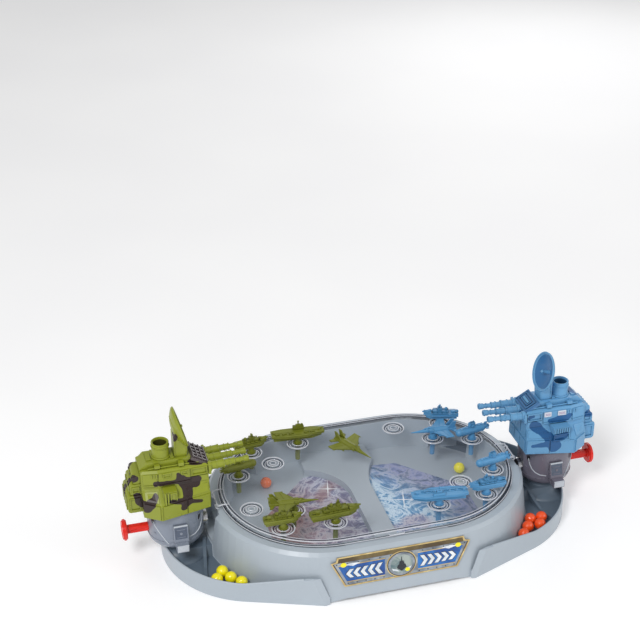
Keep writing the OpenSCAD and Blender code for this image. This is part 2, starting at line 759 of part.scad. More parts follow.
// Peg down through the cover, with the foot that rests on the hole's sleeve
module peg() {
    translate([0, 0, deck_h - peg_reach - keel_z]) cylinder(r = peg_r, h = peg_reach + keel_h + 1);
    translate([0, 0, boss_h - keel_h]) cylinder(r = foot_r, h = 1.4);
    translate([0, 0, boss_h + 1.4 - keel_h]) cylinder(r1 = 3.4, r2 = 2.8, h = keel_h - boss_h - 1.4 + eps);
}

// Ship's hull: plan half width b, with a raised bow
module ship_hull(len, b, h) {
    h2 = len / 2;
    linear_extrude(h * 0.45 + eps)
        polygon([[-h2 + 1.5, -b * 0.7], [h2 * 0.55, -b * 0.7], [h2 - 4, 0], [h2 * 0.55, b * 0.7], [-h2 + 1.5, b * 0.7]]);
    translate([0, 0, h * 0.45]) linear_extrude(h * 0.55)
        polygon([[-h2, -b * 0.8], [-h2 * 0.8, -b], [h2 * 0.45, -b], [h2 - 1.5, 0], [h2 * 0.45, b], [-h2 * 0.8, b], [-h2, b * 0.8]]);
    translate([0, 0, h]) linear_extrude(1.4)
        polygon([[h2 * 0.5, -b * 0.85], [h2, 0], [h2 * 0.5, b * 0.85]]);
}

module gun_mount(x, z, s) {
    translate([x, 0, z - eps]) cylinder(r = 1.9, h = 1.8 + eps, $fn = 32);
    for (v = [-0.8, 0.8]) translate([x, v, z + 1.1]) rotate([0, 90 * s, 0]) cylinder(r = 0.45, h = 4.2, $fn = 16);
}

module carrier(len) {
    peg();
    h2 = len / 2;
    linear_extrude(4.2) polygon([[-h2 + 2, -4], [h2 - 12, -4], [h2 - 2, 0], [h2 - 12, 4], [-h2 + 2, 4]]);
    translate([0, 0, 4.2 - eps]) linear_extrude(2.4)
        polygon([[-h2, -5], [-h2 * 0.5, -7.5], [h2 * 0.3, -7.5], [h2 * 0.5, -5.5], [h2, -3.5], [h2, 3.5],
            [h2 * 0.55, 6.5], [-h2 * 0.6, 6.5], [-h2, 5]]);
    // island, mast and parked aircraft
    translate([-4, 3.2, 6.5]) cube([11, 3, 3.4]);
    translate([-1, 3.6, 9.8]) cube([5, 2.2, 2.2]);
    translate([1.5, 4.7, 11.9]) cylinder(r = 0.6, h = 3, $fn = 16);
    for (u = [-0.78, -0.52, -0.26, 0.32, 0.55]) translate([u * h2, -2.5, 6.5]) {
        translate([-2.6, -0.5, 0]) cube([5.2, 1, 1]);
        linear_extrude(0.7) polygon([[1.2, 0], [-1.6, 2], [-1.6, -2]]);
    }
}

module cruiser(len) {
    peg();
    h2 = len / 2;
    ship_hull(len, 5.2, 6.5);
    translate([-h2 * 0.5, -3.2, 6.4]) cube([h2 * 0.95, 6.4, 2.6]);
    translate([-h2 * 0.3, -2.4, 8.9]) cube([h2 * 0.5, 4.8, 2.4]);
    translate([h2 * 0.02, -1.8, 11.2]) cube([3.4, 3.6, 2.2]);
    translate([-h2 * 0.18, 0, 11.2]) cylinder(r = 1.5, h = 2.6, $fn = 32);
    translate([1.4, 0, 13.3]) cylinder(r = 0.55, h = 3.4, $fn = 16);
    gun_mount(h2 * 0.66, 6.5, 1);
    gun_mount(-h2 * 0.72, 6.5, -1);
}

module frigate(len) {
    peg();
    h2 = len / 2;
    ship_hull(len, 4.6, 6);
    translate([-h2 * 0.45, -2.8, 5.9]) cube([h2 * 0.85, 5.6, 2.6]);
    translate([-h2 * 0.1, -2, 8.4]) cube([4.6, 4, 2.6]);
    translate([-h2 * 0.32, 0, 8.4]) cylinder(r = 1.4, h = 2.8, $fn = 32);
    translate([1.6, 0, 10.9]) cylinder(r = 0.55, h = 3.2, $fn = 16);
    gun_mount(h2 * 0.6, 6, 1);
    gun_mount(-h2 * 0.72, 6, -1);
}

module submarine(len) {
    r = 3.9;
    h2 = len / 2;
    peg();
    translate([0, 0, r]) rotate([0, 90, 0]) {
        translate([0, 0, r - h2 + 3]) cylinder(r = r, h = len - 2 * r - 3);
        translate([0, 0, h2 - r]) sphere(r, $fn = 48);
        translate([0, 0, -h2 + 0.5]) cylinder(r1 = 0.9, r2 = r, h = r + 2.6);
        translate([0, 0, -h2]) cylinder(r = 1.8, h = 0.8, $fn = 32);
    }
    // sail with its planes, periscopes and the tail fins
    translate([1, 0, 2 * r - 0.8]) {
        linear_extrude(5) polygon([[-3.4, -1.3], [2.4, -1.5], [4.2, 0], [2.4, 1.5], [-3.4, 1.3]]);
        translate([-0.5, -4, 2.4]) cube([2.4, 8, 0.8]);
        for (u = [-1.5, 1]) translate([u, 0, 4.9]) cylinder(r = 0.55, h = 2, $fn = 16);
    }
    translate([-h2 + 2.2, -5, r - 0.45]) cube([2.8, 10, 0.9]);
    translate([-h2 + 2.2, -0.45, r]) cube([2.8, 0.9, 5]);
}

// Jet: pointed nose at +X, swept wings, twin fins, no peg
module jet_body(len) {
    h2 = len / 2;
    translate([0, 0, 2.6]) rotate([0, 90, 0]) {
        translate([0, 0, -h2 + 1]) cylinder(r = 2.5, h = len * 0.55, $fn = 48);
        translate([0, 0, -h2 + 1 + len * 0.55]) cylinder(r1 = 2.5, r2 = 0.4, h = len * 0.45 - 1, $fn = 48);
        for (v = [-2, 2]) translate([0, v, -h2]) cylinder(r = 1.9, h = len * 0.5, $fn = 32);
    }
    translate([0, 0, 1.9]) linear_extrude(1.3)
        polygon([[h2 * 0.42, 0], [h2 * 0.1, 3], [-h2 * 0.45, len * 0.36], [-h2 * 0.72, len * 0.36], [-h2 * 0.62, 3],
            [-h2 * 0.62, -3], [-h2 * 0.72, -len * 0.36], [-h2 * 0.45, -len * 0.36], [h2 * 0.1, -3]]);
    // tailplane, fins and canopy
    translate([0, 0, 2]) linear_extrude(1.1)
        polygon([[-h2 * 0.66, 0], [-h2 * 0.9, len * 0.2], [-h2 * 1.02, len * 0.2], [-h2 * 0.95, 0],
            [-h2 * 1.02, -len * 0.2], [-h2 * 0.9, -len * 0.2]]);
    for (v = [-2.8, 2.8]) translate([0, v + 0.5, 3]) rotate([90, 0, 0]) linear_extrude(1)
        polygon([[-h2 * 0.55, 0], [-h2 * 0.85, 8], [-h2 * 1.0, 8], [-h2 * 0.92, 0]]);
    translate([h2 * 0.28, 0, 4]) sphere(1.7, $fn = 32);
}

module jet(len) {
    peg();
    jet_body(len);
}

// Puts a target over hole p, mirrored by sx and sy, turned by yaw
module on_hole(p, sx, sy, yaw) {
    translate([sx * p[0], sy * p[1], keel_z]) rotate([0, 0, yaw]) children();
}

module green_carrier() { color(OLIVE) on_hole(hole_a, -1, 1, -4) carrier(carrier_len); }
module green_cruiser() { color(OLIVE) on_hole(hole_a, -1, -1, 3) cruiser(cruiser_len); }
module green_frigate_near() { color(OLIVE) on_hole(hole_b, -1, -1, 0) frigate(frigate_len); }
module green_frigate_far() { color(OLIVE) on_hole(hole_b, -1, 1, 8) frigate(frigate_len); }
module green_submarine() { color(OLIVE) on_hole(hole_c, -1, 1, 10) submarine(sub_len); }
module green_jet() { color(OLIVE) on_hole(hole_d, -1, -1, -7) jet(jet_len); }
module blue_carrier() { color(STEEL_BLUE) on_hole(hole_a, 1, -1, 173) carrier(carrier_len); }
module blue_frigate_near() { color(STEEL_BLUE) on_hole(hole_b, 1, -1, 180) frigate(frigate_len); }
module blue_frigate_far() { color(STEEL_BLUE) on_hole(hole_b, 1, 1, 164) frigate(frigate_len); }
module blue_submarine_near() { color(STEEL_BLUE) on_hole(hole_c, 1, -1, 190) submarine(sub_len); }
module blue_submarine_far() { color(STEEL_BLUE) on_hole(hole_c, 1, 1, 190) submarine(sub_len); }
module blue_jet() { color(STEEL_BLUE) on_hole(hole_d, 1, 1, 179) jet(jet_len); }

// Spare jet left lying on the cover, over the seam between two rings
module green_loose_jet() {
    color(OLIVE) translate([0.5, 42, deck_h]) rotate([0, 0, -64]) difference() {
        jet_body(jet_len + 3);
        translate([-40, -40, -5]) cube([80, 80, 5]);
    }
}

// ---------------------------------------------------------------- marbles

// Marble in a tray, from the centre of the tray's outer wall
module tray_marble(side, p) {
    translate([side * (tray_x + p[0]), p[1], tray_floor + marble_d / 2]) sphere(marble_d / 2);
}

module arena_marble(p) {
    translate([p[0], p[1], floor_h + marble_d / 2]) sphere(marble_d / 2);
}

module yellow_marble_1() { color(YELLOW) tray_marble(-1, [45.6, -54.4]); }
module yellow_marble_2() { color(YELLOW) tray_marble(-1, [39.9, -65]); }
module yellow_marble_3() { color(YELLOW) tray_marble(-1, [32, -73.9]); }
module yellow_marble_4() { color(YELLOW) tray_marble(-1, [52.4, -63.6]); }
module red_marble_1() { color(ORANGE) tray_marble(1, [39.8, -57.4]); }
module red_marble_2() { color(ORANGE) tray_marble(1, [45.6, -67.5]); }
module red_marble_3() { color(ORANGE) tray_marble(1, [33, -68]); }
module red_marble_4() { color(ORANGE) tray_marble(1, [51.2, -57.6]); }
module red_marble_5() { color(ORANGE) tray_marble(1, [24.8, -77.8]); }
module arena_marble_red() { color(ORANGE) arena_marble([-deck_half - 38, 49.3]); }
module arena_marble_yellow() { color(YELLOW) arena_marble([deck_half + 56, 21.8]); }

base_shell();
clear_cover();
floor_print_green();
floor_print_blue();
front_label();
green_drum();
green_shell();
green_dish();
green_gun_block();
green_launch_tube();
green_feed_tube();
green_plunger();
green_spring();
green_pivot_screw();
green_pivot_washer();
green_shell_screws();
blue_drum();
blue_shell();
blue_dish();
blue_gun_block();
blue_launch_tube();
blue_feed_tube();
blue_plunger();
blue_spring();
blue_pivot_screw();
blue_pivot_washer();
blue_shell_screws();
green_carrier();
green_cruiser();
green_frigate_near();
green_frigate_far();
green_submarine();
green_jet();
green_loose_jet();
blue_carrier();
blue_frigate_near();
blue_frigate_far();
blue_submarine_near();
blue_submarine_far();
blue_jet();
yellow_marble_1();
yellow_marble_2();
yellow_marble_3();
yellow_marble_4();
red_marble_1();
red_marble_2();
red_marble_3();
red_marble_4();
red_marble_5();
arena_marble_red();
arena_marble_yellow();
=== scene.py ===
import math
import bpy
import bmesh
from mathutils import Matrix, Vector
from mathutils.bvhtree import BVHTree


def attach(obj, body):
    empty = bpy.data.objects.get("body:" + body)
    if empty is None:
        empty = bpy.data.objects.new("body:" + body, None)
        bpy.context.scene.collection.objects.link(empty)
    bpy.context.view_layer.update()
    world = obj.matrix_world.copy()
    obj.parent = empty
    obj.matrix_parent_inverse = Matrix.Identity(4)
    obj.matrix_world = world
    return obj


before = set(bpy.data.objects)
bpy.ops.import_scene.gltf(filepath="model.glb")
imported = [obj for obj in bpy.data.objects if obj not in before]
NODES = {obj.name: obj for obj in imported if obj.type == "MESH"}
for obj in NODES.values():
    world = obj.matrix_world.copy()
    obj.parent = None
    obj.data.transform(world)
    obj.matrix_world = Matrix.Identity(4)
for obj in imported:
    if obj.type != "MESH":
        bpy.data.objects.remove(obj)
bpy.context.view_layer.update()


def at(x, y, z):
    """Frame moved to a point."""
    return Matrix.Translation((x, y, z))


def turned(degrees, axis):
    """Turn about an axis through the origin."""
    return Matrix.Rotation(math.radians(degrees), 4, axis)


def placed(name, data):
    """New object in the scene for a mesh, a camera or a lamp."""
    made = bpy.data.objects.new(name, data)
    bpy.context.scene.collection.objects.link(made)
    return made


# ---------------------------------------------------------------- sizes, in millimetres

MM = 0.001
DECK_Z = 55.0            # top of the clear cover
SEAT_Z = 50.0            # ledge that carries the cover
FLOOR_Z = 22.0           # arena floor
COVER_HALF = 48.0        # half the straight middle of the cover
COVER_R = 92.0           # its rounded ends
BASE_HALF = 110.5        # half width of the base at the table
WALL_LEAN = math.atan(6.5 / 47.0)
TRAY_X = 107.0           # centre of a tray's round wall
TRAY_R = 91.0
TURRET_X = 184.0         # u runs from a turret's axis to the arena, v across
DRUM_R = 26.0
SHELL_Z = 62.0           # foot of a turret's shell
ROOF_Z = 112.0
SIDE_V = 9.2             # the side walls lie further out than this
CHIMNEY_U = -10.0
CHIMNEY_R = 7.8
CHIMNEY_TOP = 126.0
GUN_Z = 100.5
GUN_TILT = 3.5           # degrees
BARREL_GAP = 12.0
BARREL_LEN = 37.0
DISH_R = 18.0
HOLES = ((49.4, 66.2), (97.1, 62.5), (117.7, 27.1), (81.2, 38.8))   # pegs of one quarter
# painted shade: ambient occlusion darkens colour this far into grooves and corners
SHADE_REACH = 2.5        # width of the grooves that gather shade
GRAIN = 0.04             # depth of moulded plastic's grain
SHARP = 30               # degrees between faces, past which an edge stays sharp
MERGE = 0.0005           # points closer than this are one
OUTSIDE, ABOVE = 60.0, 170.0     # where probes towards a turret's side walls and roof start
AHEAD, BEHIND = 80.0, -90.0      # and those towards its front and its rear boxes
PEG_RISE = 8.0           # keel of a target on its peg, above the deck
NEAR_FAR = (1, -1)

GREEN_SIDE = at(-TURRET_X, 0, 0)
BLUE_SIDE = at(TURRET_X, 0, 0) @ turned(180, "Z")
DISH = at(9.0, 0, ROOF_Z + 27.3) @ turned(73, "Y")


# ---------------------------------------------------------------- materials

BLACK, WHITE = (0.0, 0.0, 0.0), (1.0, 1.0, 1.0)


class Finish:
    """A node material under construction, with short calls for the nodes it needs."""

    def __init__(self, name):
        self.material = bpy.data.materials.new(name)
        self.material.use_nodes = True
        self.tree = self.material.node_tree
        self.shader = self.tree.nodes["Principled BSDF"]
        self.place = self.node("ShaderNodeTexCoord").outputs["Object"]

    def node(self, kind, **values):
        made = self.tree.nodes.new(kind)
        for key, value in values.items():
            setattr(made, key, value)
        return made

    def feed(self, socket, value):
        """Sets a socket to a number, a colour or a vector, or joins it to an output."""
        if isinstance(value, (int, float)):
            socket.default_value = value
        elif isinstance(value, (tuple, Vector)):
            socket.default_value = (*value, 1.0) if socket.type == "RGBA" else value
        else:
            self.tree.links.new(value, socket)

    def feed_all(self, sockets, values):
        for socket, value in zip(sockets, values):
            self.feed(socket, value)

    def set(self, **values):
        for key, value in values.items():
            self.feed(self.shader.inputs[key.replace("_", " ")], value)

    def math(self, operation, *inputs, clamp=False):
        made = self.node("ShaderNodeMath", operation=operation, use_clamp=clamp)
        self.feed_all(made.inputs, inputs)
        return made.outputs[0]

    def vector(self, operation, *inputs):
        made = self.node("ShaderNodeVectorMath", operation=operation)
        self.feed_all(made.inputs, inputs)
        return made.outputs["Value" if operation in ("LENGTH", "DOT_PRODUCT") else "Vector"]

    def split(self, vector):
        made = self.node("ShaderNodeSeparateXYZ")
        self.feed(made.inputs[0], vector)
        return made.outputs

    def flat(self, x, y):
        """Vector in the plane."""
        made = self.node("ShaderNodeCombineXYZ")
        self.feed_all(made.inputs, (x, y))
        return made.outputs[0]

    def noise(self, scale, detail=3.0, roughness=0.5, distortion=0.0, place=None):
        made = self.node("ShaderNodeTexNoise")
        for name, value in (("Scale", scale), ("Detail", detail), ("Roughness", roughness),
                            ("Distortion", distortion), ("Vector", place or self.place)):
            self.feed(made.inputs[name], value)
        return made.outputs["Fac"]

    def ramp(self, source, stops):
        made = self.node("ShaderNodeValToRGB")
        made.color_ramp.interpolation = "EASE"
        ramp = made.color_ramp.elements
        while len(ramp) < len(stops):
            ramp.new(0.5)
        for element, (position, colour) in zip(ramp, stops):
            element.position = position
            element.color = (*colour, 1.0)
        self.feed(made.inputs["Fac"], source)
        return made.outputs["Color"]

    def tints(self, source, colour, spread):
        """Colour that turns a little darker and lighter."""
        return self.ramp(source, ((0.3, shade(colour, 1 - spread)), (0.7, shade(colour, 1 + spread))))

    def mix(self, factor, first, second, blend="MIX"):
        made = self.node("ShaderNodeMix", data_type="RGBA", blend_type=blend)
        self.feed_all((made.inputs[0], made.inputs[6], made.inputs[7]), (factor, first, second))
        return made.outputs[2]

    def with_painted_shade(self, colour, deepest):
        """Painted shade: colour darkened in grooves and corners, found by ambient occlusion."""
        near = self.node("ShaderNodeAmbientOcclusion", samples=6)
        self.feed(near.inputs["Distance"], SHADE_REACH * MM)
        dark = self.ramp(near.outputs["AO"], ((0.25, (deepest,) * 3), (0.8, WHITE)))
        return self.mix(1.0, colour, dark, "MULTIPLY")

    def roughened(self, source, swing, least):
        self.set(Roughness=self.math("MULTIPLY_ADD", source, swing, least))

    def bump(self, height, depth):
        """Relief, its depth in millimetres."""
        made = self.node("ShaderNodeBump")
        self.feed(made.inputs["Distance"], depth * MM)
        self.feed(made.inputs["Height"], height)
        self.set(Normal=made.outputs["Normal"])


def srgb(red, green, blue):
    """Linear colour of a colour given in 0 to 255."""
    def line(c):
        c /= 255.0
        return c / 12.92 if c <= 0.04045 else ((c + 0.055) / 1.055) ** 2.4
    return (line(red), line(green), line(blue))


def shade(colour, factor):
    """Colour made darker or lighter."""
    return tuple(min(c * factor, 1.0) for c in colour)


def moulded(name, colour, rough, coat=0.0, groove_shade=1.0):
    """Moulded plastic: faint flow marks in the colour, fine grain in the surface. A groove factor below 1
    paints shade into grooves and corners.
    """
    made = Finish(name)
    tint = made.tints(made.noise(14.0, detail=4.0, roughness=0.6, distortion=0.6), colour, 0.06)
    # painted shade in grooves and corners, when the groove factor is below 1
    made.set(Base_Color=made.with_painted_shade(tint, groove_shade) if groove_shade < 1 else tint, Coat_Weight=coat)
    made.roughened(made.noise(90.0, detail=2.0), 0.12, rough - 0.06)
    made.bump(made.noise(1400.0, detail=2.0), GRAIN)
    return made.material


def stroke_field(made, place, strokes):
    """Distance to the nearest tapered stroke, softly merged; below 0 inside."""
    field = None
    for start, wide, end, narrow in strokes:
        run = (Vector(end) - Vector(start)) * MM
        away = made.vector("SUBTRACT", place, Vector(start) * MM)
        along = made.vector("DOT_PRODUCT", away, run)
        share = made.math("MULTIPLY", along, 1.0 / run.length_squared, clamp=True)
        nearest = made.vector("MULTIPLY", share, run)
        gap = made.vector("LENGTH", made.vector("SUBTRACT", away, nearest))
        radius = made.math("MULTIPLY_ADD", share, (narrow - wide) * MM, wide * MM)
        inside = made.math("SUBTRACT", gap, radius)
        field = inside if field is None else made.math("SMOOTH_MIN", field, inside, 2.8 * MM)
    return field


def camouflage(name, colour, dark, sides, rest):
    """Two-colour paint; sides are strokes on both side walls, rest are strokes in space."""
    made = Finish(name)
    marks = made.noise(16.0, detail=4.0, roughness=0.6, distortion=0.5)
    x, y, z = made.split(made.place)
    off_side = made.math("LESS_THAN", made.math("ABSOLUTE", y), SIDE_V * MM)
    flat = made.vector("MULTIPLY", made.place, (1.0, 0.0, 1.0))
    field = made.math("ADD", stroke_field(made, flat, sides), made.math("MULTIPLY", off_side, 0.1))
    field = made.math("MINIMUM", field, stroke_field(made, made.place, rest))
    wobble = made.math("MULTIPLY_ADD", made.noise(60.0, detail=1.0), 2.8 * MM, -1.4 * MM)
    painted = made.math("LESS_THAN", made.math("ADD", field, wobble), 0.0)
    colours = made.mix(painted, made.tints(marks, colour, 0.07), made.tints(marks, dark, 0.15))
    # painted shade in the chimney's throat
    out = made.math("SUBTRACT", made.math("ABSOLUTE", x), (TURRET_X - CHIMNEY_U) * MM)
    inside = made.math("LESS_THAN", made.vector("LENGTH", made.flat(out, y)), (CHIMNEY_R - 0.7) * MM)
    below = made.math("LESS_THAN", z, (CHIMNEY_TOP - 1.2) * MM)
    throat = made.math("MULTIPLY", made.math("MULTIPLY", inside, below), 0.85)
    # painted shade darkens grooves and corners
    made.set(Base_Color=made.with_painted_shade(made.mix(throat, colours, shade(dark, 0.4)), 0.42))
    made.roughened(made.noise(90.0, detail=2.0), 0.12, 0.3)
    made.bump(made.noise(1400.0, detail=2.0), GRAIN)
    return made.material


def strokes(side, paths):
    """Tapered strokes (start, radius, end, radius) along paths of (u, v, z, radius).

    Side is 1 for the green turret and -1 for the blue one. Paths on the side walls have no v.
    """
    made = []
    for path in paths:
        spots = [((side * (u - TURRET_X), side * sum(v), z), radius) for u, *v, z, radius in path]
        made += [(*a, *b) for a, b in zip(spots, spots[1:])]
    return made


GREEN_WALLS = (
    ((2.1, 100.6, 1.6), (4.2, 95.5, 3.8), (6.5, 91.0, 4.8)),
    ((-18.0, 94.0, 2.8), (-8.4, 93.9, 1.8), (2.0, 92.8, 2.6)),
    ((8.0, 91.4, 4.4), (18.0, 90.6, 4.4), (20.6, 92.4, 3.0)),
    ((8.6, 90.0, 4.6), (9.2, 84.0, 4.2), (8.6, 75.5, 4.2)),
    ((-7.3, 80.3, 2.0), (6.0, 76.6, 2.6)), ((10.0, 75.3, 2.8), (20.8, 72.4, 2.2)),
    ((5.2, 70.8, 3.0), (7.2, 75.0, 4.0)),
    ((-35.5, 82.4, 2.6), (-32.5, 75.8, 4.0), (-29.4, 73.6, 4.8), (-24.6, 78.4, 3.6), (-19.6, 84.4, 2.6)))
GREEN_REST = (
    ((-41, 9, 100, 4.2), (-36, 14, 99, 4.2)), ((-41, -9, 100, 4.2), (-36, -14, 99, 4.2)),
    ((-46, 2, 76, 4.0), (-45, 7, 86, 4.4)), ((-42, -4, 92, 3.6), (-41, 0, 97, 3.0)),
    ((30, 2, 101, 4.0), (46, 5, 99, 3.4)), ((15, 11, 108, 2.6), (24, 12, 105, 2.8)),
    ((15, -11, 107, 2.6), (24, -12, 104, 2.6)),
    ((1.4, -0.5, 136.0, 2.2), (2.0, -6.4, 131.8, 3.0), (3.0, -12.0, 137.5, 2.4)),
    ((18, -9, 116, 4.0), (27, 6, 110, 3.0)))
BLUE_WALLS = (
    ((21.6, 91.2, 4.8), (19.0, 89.6, 4.6)), ((19.0, 89.6, 4.0), (12.4, 83.2, 3.8), (7.5, 78.6, 4.8)),
    ((7.5, 79.6, 4.8), (-5.4, 82.6, 4.0)), ((7.4, 77.0, 5.0), (4.6, 69.4, 4.8)),
    ((4.6, 78.0, 4.0), (1.6, 72.0, 4.4)), ((24.0, 71.6, 2.0), (9.0, 73.4, 3.6)),
    ((6.4, 94.2, 2.3), (-2.0, 95.0, 2.8), (-8.0, 95.2, 2.4), (-15.4, 97.2, 1.9)),
    ((-4.0, 97.2, 1.4), (-4.0, 95.0, 2.4)), ((-13.0, 98.0, 1.3), (-12.0, 96.0, 2.2)),
    ((22.6, 100.6, 1.5), (27.0, 100.0, 1.9)))
BLUE_REST = (
    ((-41, 8, 93, 4.2), (-36, 15, 92, 4.2)), ((-41, -8, 93, 4.2), (-36, -15, 92, 4.2)),
    ((-46, 0, 74, 4.0), (-45, 4, 84, 4.0)), ((31, 8, 101, 3.4), (41, 11, 100, 3.2)),
    ((34, -3, 101, 3.0), (42, 0, 100, 3.0)), ((-20, -4, 114, 4.0), (-26, 3, 111, 4.0)))

green_paint = camouflage("camouflaged_green_plastic", srgb(140, 149, 40), srgb(46, 30, 28),
                         strokes(1, GREEN_WALLS), strokes(1, GREEN_REST))
blue_paint = camouflage("camouflaged_blue_plastic", srgb(100, 157, 200), srgb(26, 90, 146),
                        strokes(-1, BLUE_WALLS), strokes(-1, BLUE_REST))
# where a groove factor below 1 is given, shade is painted into grooves and corners
olive = moulded("olive_plastic", srgb(116, 122, 34), rough=0.36, groove_shade=0.35)
steel_blue = moulded("mid_blue_plastic", srgb(86, 150, 197), rough=0.34, groove_shade=0.35)
green_drum_grey = moulded("drum_grey_plastic", srgb(128, 136, 150), rough=0.26, groove_shade=0.35)
blue_drum_grey = moulded("purple_grey_plastic", srgb(110, 107, 120), rough=0.26, groove_shade=0.35)
# painted highlight: pale grey along the drums' ribs and edges
highlight_grey = moulded("painted_highlight_grey_plastic", srgb(186, 192, 200), rough=0.26)
drum_slate = moulded("slate_panel_plastic", srgb(80, 90, 108), rough=0.26, groove_shade=0.35)
red_plastic = moulded("red_plastic", srgb(226, 38, 26), rough=0.25)
yellow_plastic = moulded("yellow_marble_plastic", srgb(253, 236, 12), rough=0.12, coat=0.5)
orange_plastic = moulded("orange_marble_plastic", srgb(244, 84, 28), rough=0.12, coat=0.5)
bright_orange = moulded("bright_orange_marble_plastic", srgb(255, 116, 44), rough=0.12, coat=0.5)
# painted shade: a dark disc stands for the shade in each screw pocket
recess_shade = moulded("painted_recess_shade", srgb(34, 32, 38), rough=0.5)
# painted shade: darker colours for the hollow of each dish
dish_shade_olive = moulded("painted_dish_shade_olive_plastic", srgb(112, 120, 30), rough=0.3)
dish_shade_blue = moulded("painted_dish_shade_blue_plastic", srgb(52, 110, 162), rough=0.3)
grille_grey = moulded("grille_grey_plastic", srgb(84, 74, 76), rough=0.3, groove_shade=0.3)
grille_blue = moulded("grille_blue_plastic", srgb(66, 118, 168), rough=0.3, groove_shade=0.3)
window_white = moulded("pale_window_paint", srgb(222, 226, 236), rough=0.3)
rosy_pane = moulded("rosy_window_paint", srgb(196, 186, 206), rough=0.3)


def brushed_metal(name, colour, rough):
    """Metal with fine lines across x."""
    made = Finish(name)
    stretched = made.vector("MULTIPLY", made.place, (40.0, 900.0, 900.0))
    lines = made.noise(1.0, place=stretched)
    made.set(Base_Color=made.ramp(lines, ((0.3, shade(colour, 0.86)), (0.7, shade(colour, 1.08)))))
    made.roughened(lines, 0.15, rough - 0.07)
    made.set(Metallic=1.0)
    made.bump(lines, 0.03)
    return made.material


nozzle_silver = brushed_metal("silvered_tube", srgb(205, 206, 210), 0.28)
screw_steel = brushed_metal("zinc_plated_steel", srgb(190, 190, 186), 0.3)


def base_grey():
    """Pale grey plastic of the base, with painted shade turning it slate in the trays and under the
    turrets.
    """
    made = Finish("pale_grey_plastic")
    marks = made.noise(9.0, detail=4.0, roughness=0.6, distortion=0.8)
    pale, slate = made.tints(marks, srgb(172, 182, 191), 0.03), made.tints(marks, srgb(96, 110, 124), 0.06)
    x, y, z = made.split(made.place)
    along = made.math("ABSOLUTE", x)

    def reach(centre):
        return made.vector("LENGTH", made.flat(made.math("SUBTRACT", along, centre * MM), y))

    # painted shade: slate between the tray's outer wall and the leaning wall of the arena block
    inside = made.math("LESS_THAN", reach(TRAY_X), (TRAY_R - 1.6) * MM)
    beyond = made.math("GREATER_THAN", along, 100.0 * MM)
    foot = made.math("MULTIPLY_ADD", z, -6.0 / 47.0, (BASE_HALF - 0.1) * MM)
    outside = made.math("GREATER_THAN", reach(COVER_HALF), foot)
    in_tray = made.math("MULTIPLY", made.math("MULTIPLY", inside, beyond), outside)
    made.set(Base_Color=made.mix(in_tray, pale, slate))
    made.roughened(made.noise(60.0, detail=2.0), 0.1, 0.3)
    made.bump(made.noise(1100.0, detail=2.0), GRAIN)
    return made.material


base_plastic = base_grey()


def clear_plastic(name, colour, facing, grazing, gloss):
    """Clear styrene: nearly unseen face on, stronger at grazing angles, sharp gloss."""
    made = Finish(name)
    haze = made.noise(30.0)
    made.set(Base_Color=made.tints(haze, colour, 0.04), Specular_IOR_Level=gloss)
    made.roughened(haze, 0.04, 0.05)
    edge = made.node("ShaderNodeLayerWeight")
    edge.inputs["Blend"].default_value = 0.3
    made.set(Alpha=made.math("MULTIPLY_ADD", edge.outputs["Facing"], grazing - facing, facing))
    made.bump(made.noise(25.0, detail=1.0), 0.12)
    return made.material


cover_clear = clear_plastic("clear_cover_plastic", srgb(176, 184, 198), 0.02, 0.18, 0.5)
# painted highlight in the bright beads, painted shade in the dark ones, along the cover's rings and rim
highlight_clear = clear_plastic("painted_highlight_bead_plastic", srgb(236, 239, 246), 0.5, 0.92, 0.8)
shade_clear = clear_plastic("painted_shade_bead_plastic", srgb(52, 58, 76), 0.5, 0.85, 0.8)


